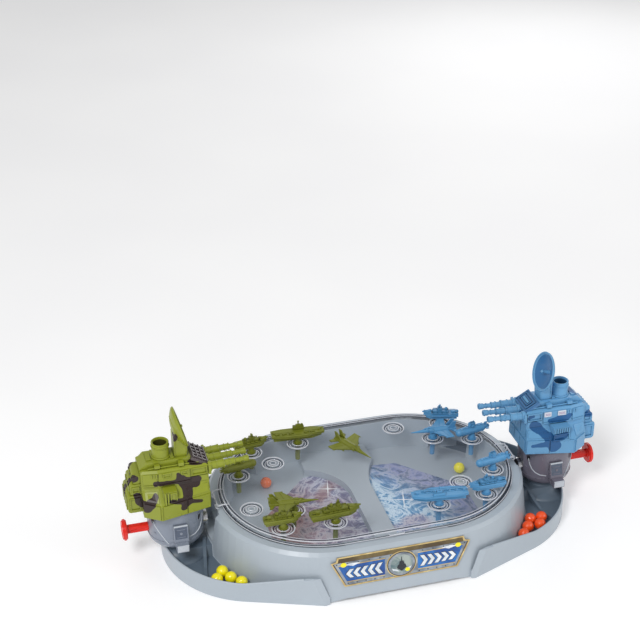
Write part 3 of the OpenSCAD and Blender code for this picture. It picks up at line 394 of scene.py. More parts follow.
def splash_print(name, water, deep, glow, warm, far, centre, sweep, seed):
    """Printed sheet: a burst of water and light round a centre, with swirls and streaks.

    Along sweep, a direction in the plane, the water turns into the far colour.
    """
    made = Finish(name)
    local = made.vector("SUBTRACT", made.place, Vector((*centre, FLOOR_Z)) * MM)
    shifted = made.vector("ADD", local, (seed * 0.1, 0.0, 0.0))
    swirl = made.noise(34.0, detail=7.0, roughness=0.66, distortion=2.0, place=shifted)
    colour = made.ramp(swirl, ((0.28, deep), (0.42, water), (0.5, glow), (0.58, water), (0.72, deep)))
    # streaks that run out from the centre
    x, y, _ = made.split(local)
    angle = made.math("ARCTAN2", y, x)
    ring = made.vector("LENGTH", local)
    fan = made.flat(made.math("MULTIPLY", angle, 4.0), made.math("MULTIPLY", ring, 9.0))
    rays = made.noise(3.2, detail=5.0, roughness=0.7, place=fan)
    streak = made.ramp(rays, ((0.5, BLACK), (0.68, WHITE)))
    colour = made.mix(made.math("MULTIPLY", streak, 0.75), colour, glow)
    # the far colour
    drift = made.math("MULTIPLY_ADD", made.noise(12.0, detail=4.0, place=shifted), 1.2, -0.1)
    share = made.math("ADD", made.vector("DOT_PRODUCT", local, (*sweep, 0.0)), drift, clamp=True)
    share = made.math("MULTIPLY", made.math("SUBTRACT", share, 0.4, clamp=True), 1.25)
    beyond = made.ramp(swirl, [(stop, shade(far, level)) for stop, level in
                               ((0.34, 0.3), (0.46, 0.9), (0.54, 1.9), (0.66, 0.7))])
    colour = made.mix(share, colour, beyond)
    # warm patches
    patch = made.noise(16.0, distortion=0.8, place=shifted)
    ember = made.ramp(patch, ((0.6, BLACK), (0.74, WHITE)))
    colour = made.mix(made.math("MULTIPLY", ember, 0.55), colour, warm)
    # four-pointed flash at the centre
    spin = made.math("ABSOLUTE", made.math("SINE", made.math("MULTIPLY_ADD", angle, 2.0, 0.5)))
    blade = made.math("ADD", made.math("MULTIPLY", ring, spin), made.math("MULTIPLY", ring, 0.08))
    flash = made.ramp(made.math("MULTIPLY", blade, 1.0 / (3.0 * MM)), ((0.25, WHITE), (0.6, BLACK)))
    made.set(Base_Color=made.mix(flash, colour, srgb(250, 252, 255)))
    made.roughened(swirl, 0.15, 0.3)
    made.bump(made.noise(2000.0, detail=1.0), 0.01)
    return made.material


print_green = splash_print(
    "purple_splash_print", water=srgb(122, 126, 166), deep=srgb(66, 66, 100), glow=srgb(206, 214, 232),
    warm=srgb(150, 92, 74), far=srgb(128, 84, 66), centre=(-29.0, 30.0), sweep=(-9.0, -0.5), seed=1)
print_blue = splash_print(
    "blue_splash_print", water=srgb(70, 146, 198), deep=srgb(34, 60, 106), glow=srgb(214, 234, 248),
    warm=srgb(176, 112, 118), far=srgb(112, 108, 142), centre=(36.4, -6.7), sweep=(12.0, 7.0), seed=4)


def printed(name, colour, second, scale=60.0):
    """Foil print: two colours in a fine grain."""
    made = Finish(name)
    grain = made.noise(scale, detail=5.0, roughness=0.6, distortion=0.8)
    made.set(Base_Color=made.ramp(grain, ((0.35, colour), (0.65, second))))
    made.roughened(grain, 0.15, 0.26)
    made.bump(grain, 0.02)
    return made.material


label_gold = printed("label_gold", srgb(226, 204, 144), srgb(184, 154, 92))
label_band = printed("label_grey_band", srgb(168, 176, 184), srgb(104, 112, 122), 45.0)
label_blue = printed("label_blue_field", srgb(40, 118, 196), srgb(24, 66, 140), 40.0)
label_brown = printed("label_brown_bar", srgb(112, 96, 58), srgb(78, 62, 36), 50.0)
label_white = printed("label_white", srgb(238, 242, 246), srgb(206, 214, 222), 80.0)
label_dark = printed("label_dark", srgb(34, 38, 46), srgb(52, 58, 68), 80.0)
label_sea = printed("label_emblem_sea", srgb(92, 118, 124), srgb(168, 178, 172), 90.0)


# ---------------------------------------------------------------- shapes

def circle(radius, sides):
    """Points (x, y) round a circle."""
    turns = [math.tau * i / sides for i in range(sides)]
    return [(radius * math.cos(a), radius * math.sin(a)) for a in turns]


def rectangle(x0, x1, y0, y1):
    return ((x0, y0), (x1, y0), (x1, y1), (x0, y1))


def border(x0, x1, y0, y1, bar):
    """Rectangles of the four bars of a frame."""
    return (rectangle(x0, x1, y0, y0 + bar), rectangle(x0, x1, y1 - bar, y1),
            rectangle(x0, x0 + bar, y0 + bar, y1 - bar), rectangle(x1 - bar, x1, y0 + bar, y1 - bar))


def aimed(point, direction):
    """Frame with its origin at point and its z axis along direction."""
    turn = Vector(direction).to_track_quat("Z", "Y").to_matrix().to_4x4()
    return Matrix.Translation(point) @ turn


def round_edges(piece, width, segments, angle):
    edge = piece.modifiers.new("rounded_edges", "BEVEL")
    edge.width = width * MM
    edge.segments = segments
    edge.limit_method = "ANGLE"
    edge.angle_limit = math.radians(angle)
    edge.harden_normals = True


class Piece:
    """One mesh of many small shapes, given in millimetres in the frame of its side."""

    def __init__(self, side=None):
        self.mesh = bmesh.new()
        self.side = side or Matrix.Identity(4)

    def vertex(self, point):
        return self.mesh.verts.new(self.side @ Vector(point))

    def loft(self, rings, close=True):
        """Skin between rings of points, with its ends closed."""
        rows = [[self.vertex(p) for p in ring] for ring in rings]
        count = len(rows[0])
        for low, high in zip(rows, rows[1:]):
            for i in range(count):
                j = (i + 1) % count
                self.mesh.faces.new((low[i], low[j], high[j], high[i]))
        if close:
            self.mesh.faces.new(rows[0][::-1])
            self.mesh.faces.new(rows[-1])

    def slab(self, outline, low, high, turn=None):
        """Outline (x, y) thickened from low to high along the z axis of turn."""
        turn = turn or Matrix.Identity(4)
        self.loft([[turn @ Vector((x, y, z)) for x, y in outline] for z in (low, high)])

    def box(self, low, high, turn=None):
        self.slab(rectangle(low[0], high[0], low[1], high[1]), low[2], high[2], turn)

    def outboard_box(self, face, x0, x1, y0, y1, z0, z1):
        """Box on one side, y0 and y1 counted outwards."""
        near, far = sorted((face * y0, face * y1))
        self.box((x0, near, z0), (x1, far, z1))

    def lathe(self, profile, place, sides):
        """Profile of (radius, height) turned about the z axis of place."""
        self.loft([[place @ Vector((x, y, height)) for x, y in circle(radius, sides)]
                   for radius, height in profile])

    def hoop(self, radius, bead, place, up=0.0, sides=64, bead_sides=10):
        """Torus about the z axis of place, at a height on it."""
        rows = []
        for i in range(sides):
            a = math.tau * i / sides
            row = []
            for out, rise in circle(bead, bead_sides):
                out += radius
                row.append(self.vertex(place @ Vector((out * math.cos(a), out * math.sin(a), up + rise))))
            rows.append(row)
        for near, far in zip(rows, rows[1:] + rows[:1]):
            for k in range(bead_sides):
                n = (k + 1) % bead_sides
                self.mesh.faces.new((near[k], far[k], far[n], near[n]))

    def bead(self, path, radius, closed=False, sides=10, flat=1.0):
        """Round bead along a path of points; flat squashes its height."""
        path = [Vector(p) for p in path]
        rings = []
        count = len(path)
        for i, point in enumerate(path):
            ahead = path[(i + 1) % count] if closed or i + 1 < count else point
            behind = path[i - 1] if closed or i else point
            along = (ahead - behind).normalized()
            across = along.cross(Vector((0, 0, 1)))
            if across.length < 1e-3:
                across = along.cross(Vector((0, 1, 0)))
            across.normalize()
            up = across.cross(along)
            rings.append([point + across * x + up * y * flat for x, y in circle(radius, sides)])
        if closed:
            rings.append(rings[0])
        self.loft(rings, close=not closed)

    def finish(self, name, body, material, bevel=0.0, segments=2):
        bmesh.ops.remove_doubles(self.mesh, verts=self.mesh.verts, dist=MERGE)
        bmesh.ops.recalc_face_normals(self.mesh, faces=self.mesh.faces)
        bmesh.ops.scale(self.mesh, vec=(MM, MM, MM), verts=self.mesh.verts)
        data = bpy.data.meshes.new(name)
        self.mesh.to_mesh(data)
        self.mesh.free()
        data.materials.append(material)
        piece = placed(name, data)
        if bevel:
            round_edges(piece, bevel, segments, SHARP)
        data.shade_smooth()
        data.set_sharp_from_angle(angle=math.radians(SHARP))
        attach(piece, body)


class Skin:
    """A CAD node's surface, to set pieces on, in the frame of its side."""

    def __init__(self, node, side):
        self.side = side
        data = NODES[node].data
        points = [v.co / MM for v in data.vertices]
        self.tree = BVHTree.FromPolygons(points, [tuple(f.vertices) for f in data.polygons])

    def hit(self, start, direction):
        """Where a straight probe meets the surface, and the surface's outward direction there."""
        along = (self.side.to_3x3() @ Vector(direction)).normalized()
        spot, normal, _, _ = self.tree.ray_cast(self.side @ Vector(start), along)
        if spot is None:
            return None, None
        if normal.dot(along) > 0:
            normal = -normal
        back = self.side.inverted()
        return back @ spot, back.to_3x3() @ normal

    def plate(self, piece, starts, direction, rise):
        """Flat plate whose outline is probed on to the surface, its foot sunk into it."""
        hits = [self.hit(s, direction) for s in starts]
        if any(h[0] is None for h in hits):
            return
        normal = sum((h[1] for h in hits), Vector()).normalized()
        piece.loft([[h[0] + normal * z for h in hits] for z in (-0.4, rise)])

    def side_plate(self, piece, face, outline, rise):
        """Plate on a turret's side wall, outline in (u, z), face 1 or -1."""
        self.plate(piece, [(u, face * OUTSIDE, z) for u, z in outline], (0, -face, 0), rise)

    def side_frame(self, piece, face, u0, u1, z0, z1, rise):
        """Raised frame round a window on a side wall."""
        for bar in border(u0, u1, z0, z1, 1.0):
            self.side_plate(piece, face, bar, rise)

    def end_plate(self, piece, start, outline, rise):
        """Plate on the front wall or the rear boxes, probed from u = start, outline in (v, z)."""
        self.plate(piece, [(start, v, z) for v, z in outline], (-start, 0, 0), rise)

    def roof_plate(self, piece, outline, rise):
        """Plate on top, outline in (u, v)."""
        self.plate(piece, [(u, v, ABOVE) for u, v in outline], (0, 0, -1), rise)


# ---------------------------------------------------------------- finishes on the solids

def dress(node, material, bevel=0.0):
    """Gives a CAD node its finish, joined faces and rounded edges."""
    piece = NODES[node]
    piece.data.materials.clear()
    piece.data.materials.append(material)
    weld = piece.modifiers.new("joined_faces", "WELD")
    weld.merge_threshold = 0.002 * MM
    if bevel:
        round_edges(piece, bevel, 2, 28)


dress("base_shell", base_plastic)
dress("clear_cover", cover_clear)
dress("floor_print_green", print_green)
dress("floor_print_blue", print_blue)
for side, paint, grey in (("green", green_paint, green_drum_grey), ("blue", blue_paint, blue_drum_grey)):
    dress(side + "_shell", paint, bevel=0.5)
    for part, finish in (("_drum", grey), ("_dish", paint), ("_gun_block", paint), ("_feed_tube", grey),
                         ("_launch_tube", nozzle_silver), ("_plunger", red_plastic),
                         ("_spring", screw_steel), ("_pivot_screw", screw_steel),
                         ("_pivot_washer", screw_steel), ("_shell_screws", screw_steel)):
        dress(side + part, finish)
for node in NODES:
    if any(word in node for word in ("carrier", "cruiser", "frigate", "submarine", "jet")):
        dress(node, olive if node.startswith("green") else steel_blue)
    elif "yellow_marble" in node or node == "arena_marble_yellow":
        dress(node, yellow_plastic)
    elif "red_marble" in node:
        dress(node, orange_plastic)
dress("arena_marble_red", bright_orange)
dress("front_label", grille_grey)


# ---------------------------------------------------------------- repeated pieces, by node trees

def node_tree(name, sizes):
    """Geometry tree with a geometry input and one named number for each size."""
    tree = bpy.data.node_groups.new(name, "GeometryNodeTree")
    tree.interface.new_socket("Geometry", in_out="INPUT", socket_type="NodeSocketGeometry")
    for size in sizes:
        tree.interface.new_socket(size, in_out="INPUT", socket_type="NodeSocketFloat")
    tree.interface.new_socket("Geometry", in_out="OUTPUT", socket_type="NodeSocketGeometry")
    return tree, tree.nodes.new("NodeGroupInput"), tree.nodes.new("NodeGroupOutput")


def tree_node(tree, kind, **inputs):
    """Node of a tree, each input set to a value or joined to an output."""
    made = tree.nodes.new(kind)
    for name, value in inputs.items():
        socket = made.inputs[name.replace("_", " ")]
        if isinstance(value, bpy.types.NodeSocket):
            tree.links.new(value, socket)
        else:
            socket.default_value = value
    return made


def set_on_points(tree, source, made, closing, material, turn=None):
    """Ends a tree: the made shape on every point, realized, with its material."""
    instance = tree_node(tree, "GeometryNodeInstanceOnPoints", Points=source.outputs["Geometry"],
                         Instance=made.outputs[0])
    if turn:
        tree.links.new(turn.outputs[0], instance.inputs["Rotation"])
    real = tree_node(tree, "GeometryNodeRealizeInstances", Geometry=instance.outputs[0])
    smooth = tree_node(tree, "GeometryNodeSetShadeSmooth", Geometry=real.outputs[0])
    paint = tree_node(tree, "GeometryNodeSetMaterial", Geometry=smooth.outputs[0], Material=material)
    tree.links.new(paint.outputs[0], closing.inputs[0])
    return tree


def stud_tree(material):
    """Round-headed stud on every point, upright on the surface."""
    tree, source, closing = node_tree("studs", ("Stud Radius", "Stud Height"))
    ball = tree_node(tree, "GeometryNodeMeshUVSphere", Segments=12, Rings=8,
                     Radius=source.outputs["Stud Radius"])
    scale = tree_node(tree, "ShaderNodeCombineXYZ", X=1.0, Y=1.0, Z=source.outputs["Stud Height"])
    stud = tree_node(tree, "GeometryNodeTransform", Geometry=ball.outputs[0], Scale=scale.outputs[0])
    normal = tree.nodes.new("GeometryNodeInputNormal")
    turn = tree_node(tree, "FunctionNodeAlignRotationToVector", Vector=normal.outputs[0])
    turn.axis = "Z"
    return set_on_points(tree, source, stud, closing, material, turn)


def ring_tree(material):
    """Round-section ring lying flat on every point."""
    tree, source, closing = node_tree("rings", ("Ring Radius", "Bead Radius"))
    ring, bead = (tree_node(tree, "GeometryNodeCurvePrimitiveCircle", Resolution=sides,
                            Radius=source.outputs[size]).outputs[0]
                  for size, sides in (("Ring Radius", 72), ("Bead Radius", 10)))
    sweep = tree_node(tree, "GeometryNodeCurveToMesh", Curve=ring, Profile_Curve=bead)
    return set_on_points(tree, source, sweep, closing, material)


def grown(name, tree, points, sizes, body, normals=None):
    """Runs a tree on points (in millimetres) and keeps the result as one plain mesh.

    A tiny triangle at each point carries its normal, where normals are given.
    """
    made = bmesh.new()
    if normals:
        for point, normal in zip(points, normals):
            turn = aimed(Vector(point), normal)
            made.faces.new([made.verts.new((turn @ Vector(c)) * MM)
                            for c in ((0.02, 0, 0), (-0.01, 0.02, 0), (-0.01, -0.02, 0))])
    else:
        for point in points:
            made.verts.new(Vector(point) * MM)
    data = bpy.data.meshes.new(name + "_points")
    made.to_mesh(data)
    made.free()
    seed = placed(name + "_points", data)
    grower = seed.modifiers.new("grower", "NODES")
    grower.node_group = tree
    for item in tree.interface.items_tree:
        if item.in_out == "INPUT" and item.name in sizes:
            grower[item.identifier] = sizes[item.name]
    ready = seed.evaluated_get(bpy.context.evaluated_depsgraph_get())
    kept = bpy.data.meshes.new_from_object(ready)
    bpy.data.objects.remove(seed)
    kept.name = name
    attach(placed(name, kept), body)


# ---------------------------------------------------------------- turrets

GRILLE_RUN = 16.8        # length of the slanted front grille
PLATES = (               # on both side walls: u0, u1, z0, z1, rise
    (-29.8, -17.0, 62.8, 77.4, 0.9), (-14.8, 7.2, 62.8, 77.4, 0.9), (8.4, 29.4, 62.8, 77.4, 0.9),
    (-28.6, -17.4, 79.6, 87.0, 0.8), (8.4, 28.4, 79.6, 87.0, 0.8),
    (-29.2, -17.0, 91.8, 93.0, 1.5), (-15.4, 12.8, 91.8, 93.0, 1.5),
    (-15.4, 12.8, 93.0, 103.8, 0.8), (-29.2, -17.0, 93.0, 103.6, 0.8))
WINDOWS = {"green": ((-11.8, -4.0), (4.6, 10.8)), "blue": ((-9.8, -1.8), (5.0, 12.0))}
VENTS = {"green": (-22.0, -19.8, -17.6), "blue": (-21.4, -19.2, -14.8, -12.6)}


def side_walls(skin, side, plates, frames, panes):
    """Plates, windows, vents and handrail of both side walls, lockers on one each."""
    for face in NEAR_FAR:
        for *edges, rise in PLATES:
            skin.side_plate(plates, face, rectangle(*edges), rise)
        skin.side_frame(plates, face, 14.2, 28.9, 96.4, 103.8, 1.3)
        skin.side_plate(plates, face, rectangle(14.2, 28.9, 89.8, 95.2), 0.6)
        for u0, u1 in WINDOWS[side]:
            skin.side_frame(frames, face, u0, u1, 99.0, 103.7, 1.7)
            skin.side_plate(panes, face, rectangle(u0 + 1.0, u1 - 1.0, 100.0, 102.7), 1.1)
        for u in VENTS[side]:
            skin.side_plate(plates, face, rectangle(u, u + 1.2, 99.8, 103.7), 1.5)
        plates.bead([(u, face * 12.8, 107.4) for u in (-24, -12, 0, 12, 22)], 0.6)
        for u in (-23.5, -8, 8, 21.5):
            plates.bead([(u, face * 12.8, 107.2), (u, face * 12.6, 105.0)], 0.5)
    # upright ribs and a lid on one side, a comb of ribs over a frame on the other
    for u in (-12.6, -10.2):
        skin.side_plate(plates, -1, rectangle(u, u + 1.4, 78.2, 89.2), 1.1)
    skin.side_frame(plates, -1, -7.4, -1.3, 78.4, 88.8, 0.9)
    for k in range(7):
        skin.side_plate(plates, 1, rectangle(-10.4 + 2.35 * k, -9.2 + 2.35 * k, 85.6, 90.6), 1.0)
    skin.side_frame(plates, 1, -10.6, 5.6, 77.6, 84.6, 0.9)


def end_walls(skin, plates):
    """Panels under the guns, ribs and frames on the stacked rear boxes."""
    for v0, v1 in ((-18.5, -6.8), (-6, 6), (6.8, 18.5)):
        skin.end_plate(plates, AHEAD, rectangle(v0, v1, 64.5, 76), 0.9)
        skin.end_plate(plates, AHEAD, rectangle(v0 * 0.9, v1 * 0.9, 79.5, 92), 0.7)
    for z0, z1, half in ((66.5, 79.5, 13), (84.8, 90.4, 12), (95.4, 98.6, 11)):
        for k in range(5):
            v = -half + 1.2 + k * (2 * half - 4.8) / 4
            skin.end_plate(plates, BEHIND, rectangle(v, v + 2.4, z0, z1), 1.0)
    for face in NEAR_FAR:
        for edges in ((-42.0, -32.5, 66.4, 79.6), (-39.4, -32.6, 84.6, 90.8)):
            skin.side_frame(plates, face, *edges, 0.9)


def armour(side, place, paint, grille, pane):
    """Everything raised on a turret's shell, and its front grille."""
    skin = Skin(side + "_shell", place)
    plates, frames, panes, bars, lid = (Piece(place) for _ in range(5))
    green = side == "green"
    side_walls(skin, side, plates, frames, panes)
    end_walls(skin, plates)
    # hatch and ridge strip on the roof
    skin.roof_plate(plates, rectangle(-2.4, 1, -8, 8), 0.9)
    skin.roof_plate(plates, rectangle(-24, -19.6, -6.5, 6.5), 1.0)
    # slanted grille: a green lattice, or nested blue frames round a block
    slope = at(16.0, 0, 112.9) @ Matrix.Rotation(math.atan2(8.6, 14.4), 4, "Y")
    lid.box((0, -13.2, -2.4), (GRILLE_RUN, 13.2, 0.5), slope)
    if green:
        for v in (-10.6, -5.3, 0.0, 5.3, 10.6):
            bars.box((0.8, v - 1.1, 0), (GRILLE_RUN - 0.8, v + 1.1, 1.5), slope)
        for u in (0.6, 5.4, 10.2, 15.0):
            bars.box((u, -12.4, 0), (u + 1.2, 12.4, 2.0), slope)
    else:
        for step, rise in ((0.3, 1.2), (2.9, 1.7), (5.5, 2.2)):
            for bar in border(step, GRILLE_RUN - step, step - 12.9, 12.9 - step, 1.3):
                bars.slab(bar, 0, rise, slope)
        plates.box((7.2, -5.6, 0), (GRILLE_RUN - 7.2, 5.6, 2.8), slope)
    body = side + "_turret"
    plates.finish(side + "_armour_plates", body, paint, bevel=0.25)
    frames.finish(side + "_window_frames", body, paint if green else pane, bevel=0.2)
    panes.finish(side + "_window_panes", body, paint if green else rosy_pane, bevel=0.1)
    lid.finish(side + "_grille_bed", body, grille, bevel=0.2)
    bars.finish(side + "_grille_bars", body, grille, bevel=0.25)


def chimney_and_dish(side, place, paint, deep):
    """Rim and collars of the chimney, lip and back ring of the dish, ribs on its post, and a sheet of
    painted shade in the dish's hollow.
    """
    trim = Piece(place)
    for out, bead, z in ((-0.5, 0.8, CHIMNEY_TOP), (0.1, 0.6, CHIMNEY_TOP - 3.2), (0.3, 1.0, ROOF_Z + 0.4)):
        trim.hoop(CHIMNEY_R + out, bead, at(CHIMNEY_U, 0, z))
    trim.hoop(DISH_R + 0.35, 0.8, DISH, -0.1, sides=96)
    trim.hoop(12.0, 0.45, DISH, -5.35, sides=72)
    skin = Skin(side + "_dish", place @ DISH)
    rings = [(r, skin.hit((r, 0.3, 30), (0, 0, -1))[0].z)
             for r in (3.2, 6.0, 9.0, 12.0, 14.6, DISH_R - 1.5)]
    # painted shade: a darker sheet laid in the dish's hollow
    shade_sheet = Piece(place @ DISH)
    shade_sheet.lathe([(r, z + 0.12) for r, z in rings] + [(r, z - 0.3) for r, z in rings[::-1]],
                 Matrix.Identity(4), sides=72)
    shade_sheet.finish(side + "_dish_painted_shade", side + "_turret", deep)
    for v in (-7.0, 7.0):
        for stay in (((2.6, 0.6), (2.6, 9), (2.9, 19)), ((12.0, 0.6), (12.5, 6), (13.0, 11))):
            trim.bead([(u, v, ROOF_Z + up) for u, up in stay], 0.6, sides=8)
    trim.finish(side + "_chimney_and_dish_trim", side + "_turret", paint)


def gun_collars(side, place, paint):
    """Collars along the three barrels, sleeves at their roots, a boss at each end."""
    trim = Piece(place)
    for i in (-1, 0, 1):
        root = at(31.0, i * BARREL_GAP, GUN_Z) @ turned(90 - GUN_TILT, "Y")
        for share, radius, bead in ((0.02, 4.2, 0.8), (0.2, 3.8, 0.6), (0.375, 3.6, 0.8), (0.53, 3.0, 0.6),
                                    (0.64, 2.8, 0.7), (0.79, 2.3, 0.5), (0.965, 2.6, 0.6)):
            trim.hoop(radius, bead, root, share * BARREL_LEN, sides=40, bead_sides=8)
        trim.lathe(((4.9, -0.6), (4.9, 1.6), (4.4, 2.6), (3.6, 2.6)), root, sides=40)
    for v in (-16.6, 16.6):
        boss = ((1.6, 0.0), (1.6, 0.5), (1.1, 1.0), (0.3, 1.1))
        trim.lathe(boss, aimed((32.2, v, GUN_Z - 1), (1, 0, 0)), sides=24)
    trim.finish(side + "_gun_collars", side + "_turret", paint)


def on_drum(degrees, z, out=0.0):
    """Point on a drum's wall, degrees from the arena side."""
    a = math.radians(degrees)
    return Vector(((DRUM_R + out) * math.cos(a), (DRUM_R + out) * math.sin(a), z))


def drum_trim(side, place, grey):
    """Ribs, dimples, screw pockets as dark discs of painted shade, and pale edges of painted highlight on a
    drum and its grips.
    """
    ribs, hole_shade, edges, panels = (Piece(place) for _ in range(4))
    for face in NEAR_FAR:
        middle = 90 * face
        # pale beads along the U ribs: painted highlight
        for swing in (((60, 51), (54, 46.5), (46, 42.5), (38, 38), (30, 33), (24, 30)),
                      ((-60, 51), (-56, 45), (-50, 40.5), (-42, 37.5), (-32, 35.8), (-18, 35.4))):
            edges.bead([on_drum(middle + a * face, z, 0.1) for a, z in swing], 0.55)
        # dark discs in the screw pockets, under raised rings: painted shade
        for turn in (-60, 46):
            spot = on_drum(middle + turn, 51.4, -0.25)
            socket = aimed(spot, (spot.x, spot.y, 0)) @ Matrix.Diagonal((1.0, 1.35, 1.0, 1.0))
            hole_shade.lathe(((2.3, -0.6), (2.3, 0.35), (1.7, 0.42), (0.2, 0.42)), socket, sides=32)
            ribs.hoop(2.7, 0.5, socket, 0.3, sides=36)
        for turn, z in ((-56, 37.5), (40, 30.5), (-38, 30.5)):
            spot = on_drum(middle + turn, z, -0.2)
            ribs.hoop(1.4, 0.4, aimed(spot, (spot.x, spot.y, -8)), sides=28)

        def leaning(out, points):
            """Points (u, out, z) in front of the drum's wall on this side."""
            return [(u, face * (DRUM_R + y + out), z) for u, y, z in points]

        # slate sheet and frame on the leaning side panel, a pale bead of painted highlight along its top
        # edge
        sheet = ((-5.6, 5.3, 36.6), (5.6, 5.3, 36.6), (5.6, 1.9, 50.2), (-5.6, 1.9, 50.2))
        panels.loft([leaning(out, sheet) for out in (0, 0.5)])
        for u in (-6.1, 6.1):
            ribs.bead(leaning(0, ((u, 5.6, 36.4), (u, 2.0, 50.6))), 0.6)
        edges.bead(leaning(0, ((-6.3, 2.0, 50.8), (6.3, 2.0, 50.8))), 0.85)
        ribs.bead(leaning(0, ((-4.0, 4.6, 40.5), (4.0, 4.6, 40.5), (4.0, 2.9, 47.5), (-4.0, 2.9, 47.5))),
                  0.4, closed=True)
        ribs.lathe(((1.3, 0.0), (1.3, 0.7), (0.3, 1.0)),
                   aimed(leaning(0, ((0, 3.6, 44),))[0], (0, face, 0.25)), sides=24)
        # pale edge strips on the grip: painted highlight
        edges.outboard_box(face, -5.1, 5.1, 37.7, 38.3, 29.6, 35.4)
        edges.bead([(-5.3, face * 37.8, 35.8), (5.3, face * 37.8, 35.8)], 0.55)
    ribs.hoop(DRUM_R, 0.5, at(0, 0, 31.5), sides=128)
    ribs.hoop(DRUM_R - 0.15, 0.6, at(0, 0, SHELL_Z - 0.9), sides=128)
    for piece, name, finish, bevel in ((ribs, "ribs", grey, 0.0), (hole_shade, "screw_pocket_shade", recess_shade, 0.0),
                                       (panels, "panel_sheets", drum_slate, 0.15),
                                       (edges, "painted_highlight_edges", highlight_grey, 0.2)):
        piece.finish(side + "_drum_" + name, side + "_turret", finish, bevel=bevel)


def spread(low, high, count):
    """Even steps from low to high."""
    return [low + (high - low) * k / (count - 1) for k in range(count)]


def shell_studs(side, place, tree):
    """Rows of studs along the skirt, the eave and the front wall."""
    skin = Skin(side + "_shell", place)
    probes = [((u, face * OUTSIDE, z), (0, -face, 0), lift) for face in NEAR_FAR
              for z, low, high, count, lift in
              ((64.6, -13.4, 28.0, 12, 0.9), (75.8, -13.4, 28.0, 12, 0.9), (84.6, 9.6, 27.2, 6, 0.8))
              for u in spread(low, high, count)]
    probes += [((AHEAD, v, z), (-1, 0, 0), 0.9) for z in (66.4, 74.6) for v in spread(-17, 17, 9)]
    points, normals = [], []
    for start, direction, lift in probes:
        spot, normal = skin.hit(start, direction)
        if spot is not None:
            points.append(place @ (spot + normal * lift))
            normals.append(place.to_3x3() @ normal)
    grown(side + "_shell_studs", tree, points, {"Stud Radius": 0.55 * MM, "Stud Height": 0.6},
          side + "_turret", normals)


def finger_disc(side, place):
    """Rim beads of a plunger's finger disc, collar on its rod."""
    trim = Piece(place)
    face = at(-49.5, 0, 36.5) @ turned(90, "Y")
    for radius, bead, up, sides in ((9.6, 0.45, 2.0, 64), (8.4, 0.4, 0.15, 64), (5.2, 0.35, 0.1, 48),
                                    (4.5, 0.8, 3.9, 48)):
        trim.hoop(radius, bead, face, up, sides)
    trim.finish(side + "_finger_disc_beads", side + "_plunger_body", red_plastic)


for side, place, paint, grille, pane, deep, grey in (
        ("green", GREEN_SIDE, green_paint, grille_grey, green_paint, dish_shade_olive, green_drum_grey),
        ("blue", BLUE_SIDE, blue_paint, grille_blue, window_white, dish_shade_blue, blue_drum_grey)):
    armour(side, place, paint, grille, pane)
    chimney_and_dish(side, place, paint, deep)
    gun_collars(side, place, paint)
    drum_trim(side, place, grey)
    shell_studs(side, place, stud_tree(paint))
    finger_disc(side, place)


# ---------------------------------------------------------------- targets

def on_hole(hole, sx, sy, yaw):
    """Place of a target on a peg hole of the quarter (sx, sy)."""
    return at(sx * HOLES[hole][0], sy * HOLES[hole][1], DECK_Z + PEG_RISE) @ turned(yaw, "Z")


def rail(piece, outline, z, post=0.9):
    """Handrail round a deck: posts every few millimetres and a wire on top."""
    piece.bead([(x, y, z + post) for x, y in outline], 0.28, closed=True, sides=6)
    for i, (x, y) in enumerate(outline):
        nx, ny = outline[(i + 1) % len(outline)]
        steps = max(1, round(math.hypot(nx - x, ny - y) / 3.2))
        for t in [k / steps for k in range(steps)]:
            spot = (x + (nx - x) * t, y + (ny - y) * t)
            piece.bead([(*spot, z - 0.3), (*spot, z + post)], 0.224, sides=5)


def gun_house(piece, x, z, s, size=1.0):
    """Twin gun turret facing s along the ship."""
    foot = ((-2.3, -1.7), (1.6, -1.9), (2.2, 0), (1.6, 1.9), (-2.3, 1.7))
    top = ((-1.9, -1.2), (1.0, -1.3), (1.4, 0), (1.0, 1.3), (-1.9, 1.2))
    piece.loft([[(x + s * a * size, b * size, up) for a, b in ring]
                for ring, up in ((foot, z - 0.2), (top, z + 2.0 * size))])
    for v in (-0.8, 0.8):
        for start, low, end, high, radius in ((1.2, 1.1, 4.9 * size, 1.6, 0.42),
                                              (4.4 * size, 1.5, 5.2 * size, 1.62, 0.6)):
            piece.bead([(x + s * start, v * size, z + low), (x + s * end, v * size, z + high)],
                       radius * size, sides=8)


def mast(piece, x, y, z, tall):
    """Pole with two yards and a lookout."""
    piece.bead([(x, y, z), (x, y, z + tall)], 0.4, sides=8)
    for share, arm in ((0.45, 1.7), (0.75, 1.2)):
        piece.bead([(x, y - arm, z + tall * share), (x, y + arm, z + tall * share)], 0.28, sides=6)
    piece.lathe(((0.9, 0.0), (1.1, 0.5), (0.5, 0.9)), at(x, y, z + tall * 0.55), sides=16)


